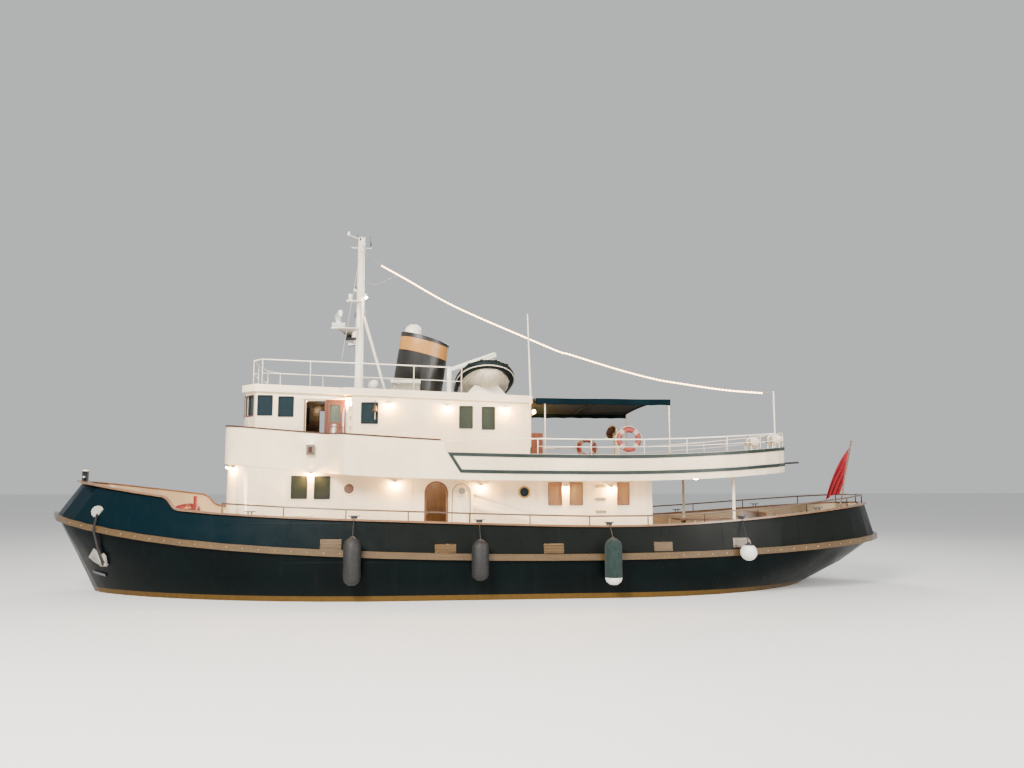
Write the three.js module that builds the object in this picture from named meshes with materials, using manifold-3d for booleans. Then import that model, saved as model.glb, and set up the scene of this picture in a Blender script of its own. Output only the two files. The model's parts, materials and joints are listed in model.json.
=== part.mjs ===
// Harbour tug fitted out as a motor yacht, afloat. Millimetres, +X to the bow, +Y to port, +Z up.
// The origin is on the centreline amidships, at the waterline.
import * as THREE from "three";
import { mergeVertices } from "three/addons/utils/BufferGeometryUtils.js";
import Module from "manifold-3d";

const wasm = await Module();
wasm.setup();

// Driving dimensions
const seat = 0.3; // gap where two pieces touch
const running = 6; // clearance beside a moving piece
const railHalf = 3500; // half-breadth at the rub rail
const bulwarkLean = 120; // how far the bulwark top leans in
const bulwarkWall = 80;
const capThick = 50;
const deckAboveRail = 90;
const railDepth = 180;
const railProud = 85;
const hullTop = 1300; // untrimmed height of the side above the rub rail

const houseHalf = 2350;
const houseAft = -5440;
const houseFore = 7180;
const wall = 60;

const wingHalf = 3200;
const wingFore = 7260;
const wingAft = -10400;
const plating = 40;
const boatDeckThick = 60;

const upperHalf = 2100;
const upperAft = -1770;
const upperFore = 3550;
const wheelHalf = 1900;
const wheelAft = 3700;
const wheelFore = 6780;
const roofThick = 220;
const roofSplit = 3800;
const roofOverhang = 100;

const doorAxisX = 680;
const doorWide = 680;
const doorThick = 40;
const slideTravel = 580;

const mastX = 3500;
const mastTop = 11220;
const radarX = 4190;
const radarZ = 8420;
const funnelMid = 1670;
const cranePost = { x: 640, y: 950, radius: 75, top: 6480 };
const boomPivotZ = 6770;

const propellerX = -9980;
const propellerZ = -1760;
const propellerRadius = 680;
const rudderX = -10620;
const heelTop = -2690; // top of the shoe that carries the rudder's foot
const helm = { x: 5800, z: 4760, radius: 430 };

// Smooth curve z(x) through the rows of a table whose columns are x, z
function curveThrough(rows) {
  const slopes = rows.map((row, i) => {
    const a = rows[Math.max(0, i - 1)];
    const b = rows[Math.min(rows.length - 1, i + 1)];
    return (b[1] - a[1]) / (b[0] - a[0]);
  });
  return (x) => {
    let i = 0;
    while (i < rows.length - 2 && x > rows[i + 1][0]) i += 1;
    const step = rows[i + 1][0] - rows[i][0];
    const t = (x - rows[i][0]) / step;
    const value = rows[i][1] * (2 * t ** 3 - 3 * t ** 2 + 1) + rows[i + 1][1] * (3 * t ** 2 - 2 * t ** 3);
    return value + step * (slopes[i] * (t ** 3 - 2 * t ** 2 + t) + slopes[i + 1] * (t ** 3 - t ** 2));
  };
}

// Sheer lines
const railZ = (x) => 1160 + 3.5e-6 * (x + 3000) ** 2 + 274 * (Math.max(0, x - 6000) / 6460) ** 2.3;
const deckZ = (x) => railZ(x) + deckAboveRail;
const bulwarkLow = curveThrough([
  [-13600, 2600], [-11250, 2410], [-8500, 2180], [-5800, 2020], [-3600, 1990],
  [-700, 2060], [2100, 2155], [4800, 2250], [7600, 2405], [8250, 2470],
]);
const bulwarkHigh = curveThrough([[8740, 2840], [10000, 3010], [11240, 3190], [12600, 3360]]);
const boatDeckZ = curveThrough([
  [-10600, 3625], [-9000, 3505], [-7500, 3396], [-5100, 3308], [-2500, 3302],
  [500, 3342], [3600, 3468], [7400, 3815],
]);
const wingTop = curveThrough([[950, 4440], [3640, 4600], [7300, 4875], [7400, 4882]]);
const panelTop = curveThrough([
  [-10600, 4440], [-9000, 4285], [-7500, 4175], [-5200, 4072], [-2000, 4070], [700, 4120],
]);
const roofUnder = (x) => 5700 + 0.0345 * x;
const roofTop = (x) => roofUnder(x) + roofThick;

// Solids for joining and cutting
function solid(geometry) {
  const bare = geometry.index ? geometry.clone() : geometry;
  for (const name of ["normal", "uv"]) bare.deleteAttribute(name);
  const merged = mergeVertices(bare, 1e-3);
  const index = merged.index.array;
  const triVerts = [];
  for (let i = 0; i < index.length; i += 3) {
    const [a, b, c] = [index[i], index[i + 1], index[i + 2]];
    if (a !== b && b !== c && c !== a) triVerts.push(a, b, c);
  }
  const vertProperties = new Float32Array(merged.attributes.position.array);
  const mesh = new wasm.Mesh({ numProp: 3, vertProperties, triVerts: new Uint32Array(triVerts) });
  return new wasm.Manifold(mesh);
}

function geometryOf(manifold) {
  const mesh = manifold.getMesh();
  const geometry = new THREE.BufferGeometry();
  geometry.setAttribute("position", new THREE.BufferAttribute(new Float32Array(mesh.vertProperties), 3));
  geometry.setIndex(new THREE.BufferAttribute(new Uint32Array(mesh.triVerts), 1));
  return geometry;
}

const moved = (body, x, y, z) => solid(geometryOf(body).translate(x, y, z));
const join = (...solids) => solids.reduce((a, b) => a.add(b));
// Cuts a piece back from what it stands on, down its sides too
const fitOn = (body, ...carriers) => carriers.reduce(
  (piece, carrier) => cut(piece, moved(carrier, 0, 0, -seat), carrier, moved(carrier, 0, 0, seat)), body);
const cut = (body, ...tools) => tools.reduce((a, b) => a.subtract(b), body);

// Basic forms
function box(x0, x1, y0, y1, z0, z1) {
  const geometry = new THREE.BoxGeometry(x1 - x0, y1 - y0, z1 - z0);
  return solid(geometry.translate((x0 + x1) / 2, (y0 + y1) / 2, (z0 + z1) / 2));
}

function rod(from, to, radius, sides = 10, endRadius = radius) {
  const a = new THREE.Vector3(...from);
  const b = new THREE.Vector3(...to);
  const along = b.clone().sub(a);
  const geometry = new THREE.CylinderGeometry(endRadius, radius, along.length(), sides);
  const turn = new THREE.Quaternion().setFromUnitVectors(new THREE.Vector3(0, 1, 0), along.normalize());
  geometry.applyQuaternion(turn);
  const middle = a.add(b).multiplyScalar(0.5);
  return solid(geometry.translate(middle.x, middle.y, middle.z));
}

// A path of straight runs whose every corner is one step of an extrusion
class Route extends THREE.Curve {
  constructor(points) {
    super();
    this.points = points.map((p) => new THREE.Vector3(...p));
  }

  getPoint(t, target = new THREE.Vector3()) {
    const place = Math.min(1, Math.max(0, t)) * (this.points.length - 1);
    const i = Math.min(this.points.length - 2, Math.floor(place));
    return target.lerpVectors(this.points[i], this.points[i + 1], place - i);
  }

  getUtoTmapping(u) {
    return u;
  }
}

// A pipe through the points, flat at both ends
function pipe(points, radius, sides = 6) {
  const curve = new Route(points);
  const steps = points.length - 1;
  const section = new THREE.Shape(Array.from({ length: sides }, (_, i) => {
    const a = ((i + 0.5) * 2 * Math.PI) / sides;
    return new THREE.Vector2(radius * Math.cos(a), radius * Math.sin(a));
  }));
  return solid(new THREE.ExtrudeGeometry(section, { steps, bevelEnabled: false, extrudePath: curve }));
}

function ball(x, y, z, radius, across = 14, up = 10) {
  const geometry = new THREE.SphereGeometry(radius, across, up).rotateX(Math.PI / 2);
  return solid(geometry.translate(x, y, z));
}

function turned(profile, sides = 20) {
  const points = profile.map(([r, z]) => new THREE.Vector2(r, z));
  return new THREE.LatheGeometry(points, sides).rotateX(Math.PI / 2);
}

function ring(x, y, z, radius, thick, around = 18, section = 6) {
  const geometry = new THREE.TorusGeometry(radius, thick, section, around).rotateX(Math.PI / 2);
  return solid(geometry.translate(x, y, z));
}

// An outline in plan, raised from z0 to z1
function plan(shape, z0, z1, curveSegments = 8) {
  const geometry = new THREE.ExtrudeGeometry(shape, { depth: z1 - z0, bevelEnabled: false, curveSegments });
  return solid(geometry.translate(0, 0, z0));
}

// A side profile of x and z, run across from y0 to y1
function profile(shape, y0 = -4500, y1 = 4500, curveSegments = 8) {
  const geometry = new THREE.ExtrudeGeometry(shape, { depth: y1 - y0, bevelEnabled: false, curveSegments });
  return solid(geometry.rotateX(Math.PI / 2).translate(0, y1, 0));
}

// A section of y and z, run along from x0 to x1
function section(shape, x0, x1, curveSegments = 12) {
  const geometry = new THREE.ExtrudeGeometry(shape, { depth: x1 - x0, bevelEnabled: false, curveSegments });
  const turn = new THREE.Matrix4().makeBasis(
    new THREE.Vector3(0, 1, 0), new THREE.Vector3(0, 0, 1), new THREE.Vector3(1, 0, 0));
  return solid(geometry.applyMatrix4(turn).translate(x0, 0, 0));
}

const polygon = (points) => new THREE.Shape(points.map(([a, b]) => new THREE.Vector2(a, b)));

const spaced = (x0, x1, steps) => Array.from({ length: steps + 1 }, (_, i) => x0 + ((x1 - x0) * i) / steps);

// The strip between two height lines, as a side profile
function strip(low, high, x0, x1, steps = 20) {
  const xs = spaced(x0, x1, steps);
  return polygon([...xs.map((x) => [x, low(x)]), ...xs.reverse().map((x) => [x, high(x)])]);
}

// Hull lines. z = base + sheer * rub rail height + rake * distance from the sternpost
// and the ends taper from half-breadth by 1 - distance ** P, all ** Q
const levelColumns = ["base", "sheer", "rake", "half", "stern", "bow", "aftP", "aftQ", "foreP", "foreQ"];
const levelRow = (row) => Object.fromEntries(levelColumns.map((name, i) => [name, row[i]]));
const hullLevels = [
  [-2800, 0, 0.0187, 90, -9650, 9100, 8, 1, 8, 1],
  [-2560, 0, 0.0187, 110, -9680, 9560, 8, 1, 8, 1],
  [-2280, 0, 0.01, 1500, -9700, 9920, 1.1, 1.8, 1.3, 1.4],
  [-1780, 0, 0.004, 2650, -9750, 10330, 1.3, 1.6, 1.5, 1.2],
  [-1150, 0, 0, 3150, -9740, 10680, 1.6, 1.3, 1.7, 1],
  [-500, 0, 0, 3350, -10350, 10990, 2, 1, 1.9, 0.85],
  [0, 0, 0, 3410, -11050, 11240, 2.2, 0.8, 2, 0.78],
  [0, 0.5, 0, 3465, -12450, 11800, 2.4, 0.65, 2.15, 0.7],
  [0, 1, 0, railHalf, -13610, 12460, 2.5, 0.55, 2.3, 0.62],
].map(levelRow);
const railLevel = hullLevels[8];
const topLevel = {
  ...railLevel, base: hullTop, half: railHalf - (bulwarkLean * hullTop) / 850, stern: -13240, bow: 11660,
};
const partWay = (name) => railLevel[name] + ((topLevel[name] - railLevel[name]) * deckAboveRail) / hullTop;
const deckLevel = {
  ...railLevel, base: deckAboveRail, half: partWay("half"), stern: partWay("stern"), bow: partWay("bow"),
};
const middleAft = -4000;
const middleFore = 2000;
const stemHalf = 70;
const hullSteps = 24;

const levelZ = (level, x) => level.base + level.sheer * railZ(x) + level.rake * (x + 9650);

function levelHalf(level, x, grow = 0) {
  const stern = level.stern - grow;
  const bow = level.bow + grow;
  if (x <= stern || x >= bow) return 0;
  let fullness = 1;
  if (x > middleFore) fullness = (1 - ((x - middleFore) / (bow - middleFore)) ** level.foreP) ** level.foreQ;
  if (x < middleAft) fullness = (1 - ((middleAft - x) / (middleAft - stern)) ** level.aftP) ** level.aftQ;
  const edge = Math.min(1, Math.min(x - stern, bow - x) / 250);
  return Math.max((level.half + grow) * fullness, Math.min(stemHalf, level.half) * edge);
}

// One closed shell through the levels, port and starboard, closed along keel and top
function loft(levels, grow = 0) {
  const columns = hullSteps + 1;
  const positions = [];
  for (const side of [1, -1]) {
    for (const level of levels) {
      for (let i = 0; i < columns; i += 1) {
        const s = i / hullSteps;
        const eased = 0.25 * s + 0.75 * 0.5 * (1 - Math.cos(Math.PI * s));
        const x = level.stern - grow + (level.bow - level.stern + 2 * grow) * eased;
        const y = i === 0 || i === hullSteps ? 0 : side * levelHalf(level, x, grow);
        positions.push(x, y, levelZ(level, x));
      }
    }
  }
  const at = (side, level, i) => (side * levels.length + level) * columns + i;
  const index = [];
  const quad = (a, b, c, d) => index.push(a, b, c, a, c, d);
  const last = levels.length - 1;
  for (let i = 0; i < hullSteps; i += 1) {
    for (let k = 0; k < last; k += 1) {
      quad(at(0, k, i), at(0, k + 1, i), at(0, k + 1, i + 1), at(0, k, i + 1));
      quad(at(1, k, i), at(1, k, i + 1), at(1, k + 1, i + 1), at(1, k + 1, i));
    }
    quad(at(0, 0, i), at(0, 0, i + 1), at(1, 0, i + 1), at(1, 0, i));
    quad(at(0, last, i), at(1, last, i), at(1, last, i + 1), at(0, last, i + 1));
  }
  const geometry = new THREE.BufferGeometry();
  geometry.setAttribute("position", new THREE.Float32BufferAttribute(positions, 3));
  geometry.setIndex(index);
  return solid(geometry);
}

const inset = (level, by, ends, base = level.base) => ({
  ...level, base, half: level.half - by, stern: level.stern + ends, bow: level.bow - 1.6 * ends,
});

// From the line of the bulwark's top, with its step down behind the bow, to the end height
function besideBulwark(lift, end) {
  const points = [];
  for (let x = -13900; x < 8200; x += 920) points.push([x, bulwarkLow(x) + lift]);
  const shape = polygon([...points, [8230, bulwarkLow(8230) + lift]]);
  shape.bezierCurveTo(8480, bulwarkLow(8250) + 20 + lift, 8480, 2780 + lift, 8740, bulwarkHigh(8740) + lift);
  for (let x = 9500; x < 12900; x += 800) shape.lineTo(x, bulwarkHigh(x) + lift);
  shape.lineTo(13000, end);
  shape.lineTo(-13900, end);
  return profile(shape, -4000, 4000, 6);
}
const aboveBulwark = (lift) => besideBulwark(lift, 5200);
const belowBulwark = (lift) => besideBulwark(lift, -1000);

// Freeing ports, port and starboard. Columns: fore x, aft x, low z, high z
const freeingPorts = [
  [4230, 3660, 1410, 1690], [1090, 500, 1300, 1550], [-1970, -2540, 1270, 1530],
  [-5160, -5710, 1300, 1560], [-7570, -8130, 1370, 1660],
];

// The hull up to its deck
const deckedHull = loft([...hullLevels, deckLevel]);

function makeHull() {
  const sternBoss = rod([-9200, 0, propellerZ], [-9800, 0, propellerZ], 190, 16, 170);
  const stockHole = rod([rudderX, 0, -900], [rudderX, 0, 300], 95, 16);
  return cut(join(deckedHull, sternBoss), stockHole);
}

// The shoe under the propeller that carries the rudder's foot
function makeHeel() {
  const shoe = box(-10820, -9640, -70, 70, -2800, heelTop);
  const beside = [[-seat, 0], [0, seat], [0, -seat]].map(([x, y]) => moved(deckedHull, x, y, 0));
  return cut(shoe, deckedHull, ...beside);
}

// The side above the deck, all round, before its freeing ports
function makeBulwarkRing() {
  const outer = loft([{ ...deckLevel, base: deckAboveRail + seat }, topLevel]);
  const inner = loft([
    inset(railLevel, bulwarkWall, 190, 0), inset(topLevel, bulwarkWall, 190, hullTop + 200),
  ]);
  return cut(outer, inner, aboveBulwark(0));
}
const bulwarkRing = makeBulwarkRing();

// One half of the ring, from the stem to the middle of the stern
function makeBulwark(side) {
  const across = side > 0 ? [seat / 2, 4000] : [-4000, -seat / 2];
  let body = bulwarkRing.intersect(box(-14000, 13000, ...across, 0, 4000));
  for (const [fore, aft, low, high] of freeingPorts) {
    body = cut(body, box(aft, fore, 3200, 3700, low, high), box(aft, fore, -3700, -3200, low, high));
  }
  return body;
}

// The hull raised by the seat, to fit the foot of what stands on its deck
const deckBelow = moved(deckedHull, 0, 0, seat);

// A bar along the side between two heights from the rub rail's line
function sideBar(low, high, proud) {
  const edge = (base) => ({
    ...railLevel, base, half: railHalf + proud, stern: railLevel.stern - proud, bow: railLevel.bow + proud,
  });
  return loft([edge(low), edge(high)]);
}

const aboveWater = [...hullLevels.slice(6), deckLevel, topLevel];

function makeRubRail() {
  return cut(sideBar(-railDepth / 2, railDepth / 2, railProud), loft(aboveWater, seat));
}

// The cap on the bulwark, with the post at the stem head
function makeCapRail() {
  const outer = loft([inset(railLevel, -50, -50), inset(topLevel, -50, -50, hullTop + 200)]);
  const inner = loft([inset(railLevel, 150, 190, 0), inset(topLevel, 150, 190, hullTop + 400)]);
  const cap = cut(outer, inner, aboveBulwark(capThick)).intersect(aboveBulwark(seat));
  const stemX = 11700;
  return join(cap, box(stemX - 70, stemX + 80, -70, 70, bulwarkHigh(stemX) + capThick / 2, 3600));
}

const capRail = makeCapRail();

// Handrail above the cap, on both sides and round the stern
function makeHandrail() {
  const height = 250;
  const line = (x) => bulwarkLow(x) + 50 + height;
  const half = (x) => levelHalf(topLevel, x) - 10;
  const xs = [];
  for (let x = 7000; x > -12000; x -= 1720) xs.push(x);
  xs.push(-12900);
  const path = [...xs.map((x) => [x, half(x)]), [-13160, 0], ...xs.toReversed().map((x) => [x, -half(x)])];
  const rail = pipe(path.map(([x, y]) => [x, y, line(x)]), 26, 6);
  const posts = path.map(([x, y]) => rod([x, y, bulwarkLow(x) + 20], [x, y, line(x)], 18, 5));
  return cut(join(rail, ...posts), belowBulwark(capThick + seat));
}

// Everything above the roofs' underside, and everything below their top
const roofAbove = profile(strip((x) => roofUnder(x) - seat, () => 7000, -2500, 7500, 1));
const roofBelow = profile(strip(() => 5000, (x) => roofTop(x) + seat, -2500, 7500, 1));

// Plan of a house with straight sides and a rounded front
function housePlan(aft, fore, half, corner, bulge) {
  const shape = new THREE.Shape();
  shape.moveTo(aft, -half);
  shape.lineTo(fore - bulge - corner, -half);
  shape.quadraticCurveTo(fore - bulge, -half, fore - bulge, -half + corner);
  shape.quadraticCurveTo(fore + bulge, 0, fore - bulge, half - corner);
  shape.quadraticCurveTo(fore - bulge, half, fore - bulge - corner, half);
  shape.lineTo(aft, half);
  return shape;
}

// Plan of the wheelhouse, with angled front corners
const wheelPlan = (grow) => polygon([
  [wheelAft - grow, -wheelHalf - grow], [wheelFore - 430 + grow * 0.4, -wheelHalf - grow],
  [wheelFore + grow, -wheelHalf + 650 - grow * 0.4], [wheelFore + 120 + grow, 0],
  [wheelFore + grow, wheelHalf - 650 + grow * 0.4], [wheelFore - 430 + grow * 0.4, wheelHalf + grow],
  [wheelAft - grow, wheelHalf + grow],
]);

// Plan of the boat deck: flush with the house forward, then out to full width, round at the stern
function boatDeckPlan(into) {
  const fore = wingFore - into;
  const narrow = houseHalf + 20 - into;
  const wide = wingHalf - into;
  const aft = wingAft + into;
  const shape = new THREE.Shape();
  shape.moveTo(aft, 0);
  shape.bezierCurveTo(aft, -wide * 0.72, -8300, -wide, -5600, -wide);
  shape.lineTo(3500, -wide);
  shape.bezierCurveTo(3950, -wide, 3950, -narrow, 4500, -narrow);
  shape.lineTo(fore - 700, -narrow);
  shape.quadraticCurveTo(fore - 60, -narrow, fore - 60, -narrow + 700);
  shape.quadraticCurveTo(fore + 60, 0, fore - 60, narrow - 700);
  shape.quadraticCurveTo(fore - 60, narrow, fore - 700, narrow);
  shape.lineTo(4500, narrow);
  shape.bezierCurveTo(3950, narrow, 3950, wide, 3500, wide);
  shape.lineTo(-5600, wide);
  shape.bezierCurveTo(-8300, wide, aft, wide * 0.72, aft, 0);
  return shape;
}

// Arched opening or leaf, as a side profile
function arch(x0, x1, low, high) {
  const shape = new THREE.Shape();
  const radius = (x1 - x0) / 2;
  shape.moveTo(x0, low);
  shape.lineTo(x1, low);
  shape.lineTo(x1, high - radius);
  shape.absarc((x0 + x1) / 2, high - radius, radius, 0, Math.PI, false);
  return shape;
}

const both = (tool, y0, y1) => join(tool(y0, y1), tool(-y1, -y0));

// The boat deck's place, from which the pieces under and over it are cut
const boatDeckRun = [-10550, 7350, 20];
const wingRun = [950, 7400, 8];
const panelRun = [-10550, 0, 12];
const panelBelow = profile(strip(() => 3000, (x) => panelTop(x) + seat, ...panelRun));
const boatDeckAbove = profile(strip((x) => boatDeckZ(x) - seat, () => 5200, ...boatDeckRun));
const boatDeckBelow = profile(strip(() => 2500, (x) => boatDeckZ(x) + boatDeckThick + seat, ...boatDeckRun));

// Windows of the lower house on each side. Columns: fore x, aft x, low z, high z
const lowerWindows = [
  [5210, 4740, 2780, 3450], [4560, 4090, 2770, 3440], [-2270, -2690, 2575, 3260],
  [-2910, -3320, 2575, 3260], [-4355, -4740, 2575, 3260],
];
// Round ports of the lower house. Columns: x, z, radius
const lowerPorts = [[3560, 3070, 150], [-1560, 2970, 140]];
const doorway = { aft: 745, fore: 1335, high: 3240 };
const hingeZs = [1750, 2750];

function makeLowerHouse() {
  const walls = cut(
    plan(housePlan(houseAft, houseFore, houseHalf, 700, 60), 900, 4200),
    plan(housePlan(houseAft + wall, houseFore - wall, houseHalf - wall, 660, 60), 800, 4300));
  let body = cut(walls, deckBelow, boatDeckAbove);
  const through = [houseHalf - 200, houseHalf + 100];
  for (const [fore, aft, low, high] of lowerWindows) {
    body = cut(body, both((y0, y1) => box(aft, fore, y0, y1, low, high), ...through));
  }
  for (const [x, z, radius] of lowerPorts) {
    body = cut(body, both((y0, y1) => rod([x, y0, z], [x, y1, z], radius, 14), ...through));
  }
  const sill = deckZ(1000) + 180;
  const opening = arch(doorway.aft, doorway.fore, sill, doorway.high);
  body = cut(body, both((y0, y1) => profile(opening, y0, y1), ...through));
  for (const z of hingeZs) {
    for (const dz of [-45, 25]) {
      const bracket = (y0, y1) => box(doorAxisX - 18, doorAxisX + 18, y0, y1, z + dz, z + dz + 20);
      body = join(body, both(bracket, houseHalf - 10, houseHalf + running + doorThick));
    }
  }
  const aftDoor = box(houseAft - 100, houseAft + 100, -350, 350, deckZ(houseAft) + 180, 3050);
  return cut(body, aftDoor);
}

function makeBulkheads() {
  const cross = (x) => box(x - 25, x + 25, -houseHalf + wall + seat, houseHalf - wall - seat, 900, 4000);
  const middle = box(-1000, 2600, -25, 25, 900, 4000);
  return cut(join(cross(2600), cross(-1000), middle), deckBelow, boatDeckAbove);
}

function makeDoor(side) {
  const gap = houseHalf + running;
  const fore = doorAxisX - 40;
  const leafShape = arch(fore - doorWide, fore, deckZ(0) + 215, doorway.high + 50);
  const span = side > 0 ? [gap, gap + doorThick] : [-gap - doorThick, -gap];
  let leaf = profile(leafShape, ...span);
  const middleY = side * (gap + doorThick / 2);
  const portX = fore - doorWide / 2;
  const portZ = 3000;
  leaf = cut(leaf, rod([portX, middleY - 60, portZ], [portX, middleY + 60, portZ], 110, 18));
  for (const z of hingeZs) {
    const half = 25 - seat;
    const knuckle = rod([doorAxisX, middleY, z - half], [doorAxisX, middleY, z + half], 16, 14);
    const strap = box(fore - 30, doorAxisX, middleY - 6, middleY + 6, z - half, z + half);
    leaf = join(leaf, knuckle, strap);
  }
  return leaf;
}

function makeBoatDeck() {
  const band = strip(boatDeckZ, (x) => boatDeckZ(x) + boatDeckThick, ...boatDeckRun);
  return plan(boatDeckPlan(plating + seat), 2800, 4400).intersect(profile(band));
}

const sidelight = { x0: 4560, x1: 4790, y: 2500, z0: 4050, z1: 4330 };

function makeBoatDeckBulwark() {
  const ringBody = cut(plan(boatDeckPlan(0), 2800, 5400), plan(boatDeckPlan(plating), 2700, 5500));
  const shape = polygon(spaced(...boatDeckRun).map((x) => [x, boatDeckZ(x)]));
  for (const x of spaced(...wingRun).toReversed()) shape.lineTo(x, wingTop(x));
  shape.bezierCurveTo(820, 4420, 860, 4140, 780, panelTop(780));
  for (const x of spaced(...panelRun).toReversed()) shape.lineTo(x, panelTop(x));
  const { x0, x1, y, z0, z1 } = sidelight;
  const lightBoxes = both((y0, y1) => box(x0, x1, y0, y1, z0, z1), houseHalf + 10, y);
  return join(ringBody.intersect(profile(shape, -4500, 4500, 8)), lightBoxes);
}

function makeBridgeCap() {
  const ringBody = cut(plan(boatDeckPlan(-20), 2800, 5400), plan(boatDeckPlan(plating + 40), 2700, 5500));
  const band = strip((x) => wingTop(x) + seat, (x) => wingTop(x) + 45, ...wingRun);
  return ringBody.intersect(profile(band));
}

// Raised frame around the panel of the boat deck's side
function makeMoulding() {
  const proud = 26;
  const bar = 100;
  const low = (x) => boatDeckZ(x) + 190;
  const xs = spaced(...panelRun);
  const topLine = xs.map((x) => [x, panelTop(x) - 8]);
  const shape = polygon([...topLine, [765, panelTop(765) - 8], [385, low(385)]]);
  for (const x of xs.toReversed()) shape.lineTo(x, low(x));
  const past = (x) => x - (x < wingAft ? 200 : 0);
  const hole = polygon([...xs.map((x) => [past(x), panelTop(x) - 8 - bar]),
    [590, panelTop(590) - 8 - bar], [340, low(340) + bar]]);
  for (const x of xs.toReversed()) hole.lineTo(past(x), low(x) + bar);
  const outer = cut(plan(boatDeckPlan(-proud), 2800, 5400), plan(boatDeckPlan(-seat), 2700, 5500));
  return cut(outer.intersect(profile(shape)), profile(hole));
}

// Points along the boat deck's edge, from the wing aft and round the stern
function edgeLine(into, xs) {
  const points = boatDeckPlan(into).getPoints(40);
  const port = points.filter((p) => p.y >= -1 && p.x < 3600).sort((a, b) => a.x - b.x || a.y - b.y);
  const halfAt = (x) => {
    let i = 0;
    while (i < port.length - 2 && x > port[i + 1].x) i += 1;
    const t = (x - port[i].x) / Math.max(1, port[i + 1].x - port[i].x);
    return port[i].y + (port[i + 1].y - port[i].y) * Math.min(1, Math.max(0, t));
  };
  return xs.map((x) => [x, halfAt(x)]);
}

const topRail = 20; // radius of the boat deck's top rail

function makeBoatDeckRail() {
  const height = 440;
  const into = plating / 2;
  const poleX = -9470;
  const side = edgeLine(into, [-1850, -3420, -5000, -6300, -7600, -8800, poleX, -9950, -10250]);
  const path = [...side, [wingAft + into, 0], ...side.toReversed().map(([x, y]) => [x, -y])];
  const rails = [[1, topRail], [0.5, 12]].map(([share, radius]) =>
    pipe(path.map(([x, y]) => [x, y, panelTop(x) + height * share]), radius, share === 1 ? 6 : 4));
  const posts = path.map(([x, y]) => rod([x, y, panelTop(x) - 40], [x, y, panelTop(x) + height], 17, 5));
  const poleY = side[6][1];
  const sternPole = rod([poleX, poleY, panelTop(poleX) + 100], [poleX, poleY, 6100], 24, 8);
  return cut(join(...rails, ...posts, sternPole), panelBelow);
}

function makePillar(x, y) {
  const post = rod([x, y, 1000], [x, y, 3900], 45, 12);
  const foot = box(x - 70, x + 70, y - 70, y + 70, 1000, deckZ(x) + 25);
  return cut(join(post, foot), deckBelow, boatDeckAbove);
}

const upperWindows = [[3280, 2770, 4970, 5620], [380, -40, 4850, 5540], [-300, -710, 4820, 5520]];

function makeUpperHouse() {
  const rectangle = (grow) => polygon([
    [upperAft - grow, -upperHalf - grow], [upperFore + grow, -upperHalf - grow],
    [upperFore + grow, upperHalf + grow], [upperAft - grow, upperHalf + grow]]);
  const walls = cut(plan(rectangle(0), 3000, 6000), plan(rectangle(-wall), 2900, 6100));
  let body = cut(walls, boatDeckBelow, roofAbove);
  for (const [fore, aft, low, high] of upperWindows) {
    body = cut(body, both((y0, y1) => box(aft, fore, y0, y1, low, high), upperHalf - 200, upperHalf + 100));
  }
  const door = box(upperAft - 100, upperAft + 100, -400, 400, 3420, 5300);
  return cut(body, door);
}

const wheelWindows = [[6310, 5860, 5200, 5820], [5710, 5250, 5170, 5790]];
const wheelDoor = { aft: 4340, fore: 4900, high: 5660 };

function makeWheelhouse() {
  const walls = cut(plan(wheelPlan(0), 3000, 6400), plan(wheelPlan(-wall), 2900, 6500));
  let body = cut(walls, boatDeckBelow, roofAbove);
  for (const [fore, aft, low, high] of wheelWindows) {
    body = cut(body, both((y0, y1) => box(aft, fore, y0, y1, low, high), wheelHalf - 200, wheelHalf + 100));
  }
  const doorLow = boatDeckZ(wheelDoor.fore) + boatDeckThick + 120;
  body = cut(body, both((y0, y1) => box(wheelDoor.aft, wheelDoor.fore, y0, y1, doorLow, wheelDoor.high),
    wheelHalf - 200, wheelHalf + 100));
  // Front and corner windows
  for (const y of [-960, 0, 960]) {
    body = cut(body, box(wheelFore - 200, wheelFore + 400, y - 400, y + 400, 5230, 5830));
  }
  for (const side of [1, -1]) {
    const tool = new THREE.BoxGeometry(800, 480, 600);
    tool.rotateZ(side * Math.atan2(430, 650)).translate(wheelFore - 215, side * (wheelHalf - 325), 5520);
    body = cut(body, solid(tool));
  }
  const tracksFore = 4335 + slideTravel + 85;
  const tracks = (z0, z1) =>
    both((y0, y1) => box(3720, tracksFore, y0, y1, z0, z1), wheelHalf - 5, wheelHalf + 60);
  body = join(body, tracks(5700, 5740), tracks(doorLow - 80, doorLow - 50));
  const aftDoor = box(wheelAft - 100, wheelAft + 100, -350, 350, 3600, 5450);
  return cut(body, aftDoor);
}

function makeWheelDoor(side) {
  const low = boatDeckZ(wheelDoor.fore) + boatDeckThick + 70 + seat;
  const y0 = wheelHalf + running;
  const span = side > 0 ? [y0, y0 + doorThick] : [-y0 - doorThick, -y0];
  const leaf = box(3740, 4335, ...span, low, 5700 - seat);
  return cut(leaf, box(3880, 4200, side * y0 - 80, side * y0 + 80, 5010, 5560));
}

function roofBand(x0, x1) {
  return profile(strip(roofUnder, roofTop, x0, x1, 1));
}

function makeWheelRoof() {
  const outline = plan(wheelPlan(roofOverhang), 5000, 7000);
  return outline.intersect(roofBand(roofSplit + seat, 7400));
}

function makeUpperRoof() {
  const half = upperHalf + 60;
  const slab = box(upperAft - 60, roofSplit, -half, half, 5000, 7000).intersect(roofBand(-2100, roofSplit));
  return join(slab, rod([-1790, half - 50, 5800], [-1695, half - 50, 8380], 32, 8, 20));
}

// Roof rail round the wheelhouse top and along the upper house. Columns: x, y
const roofRailPath = [[300, 1900], [1740, 1900], [3280, 1850], [4820, 1750], [6230, 1700], [6560, 1250]];

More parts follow.
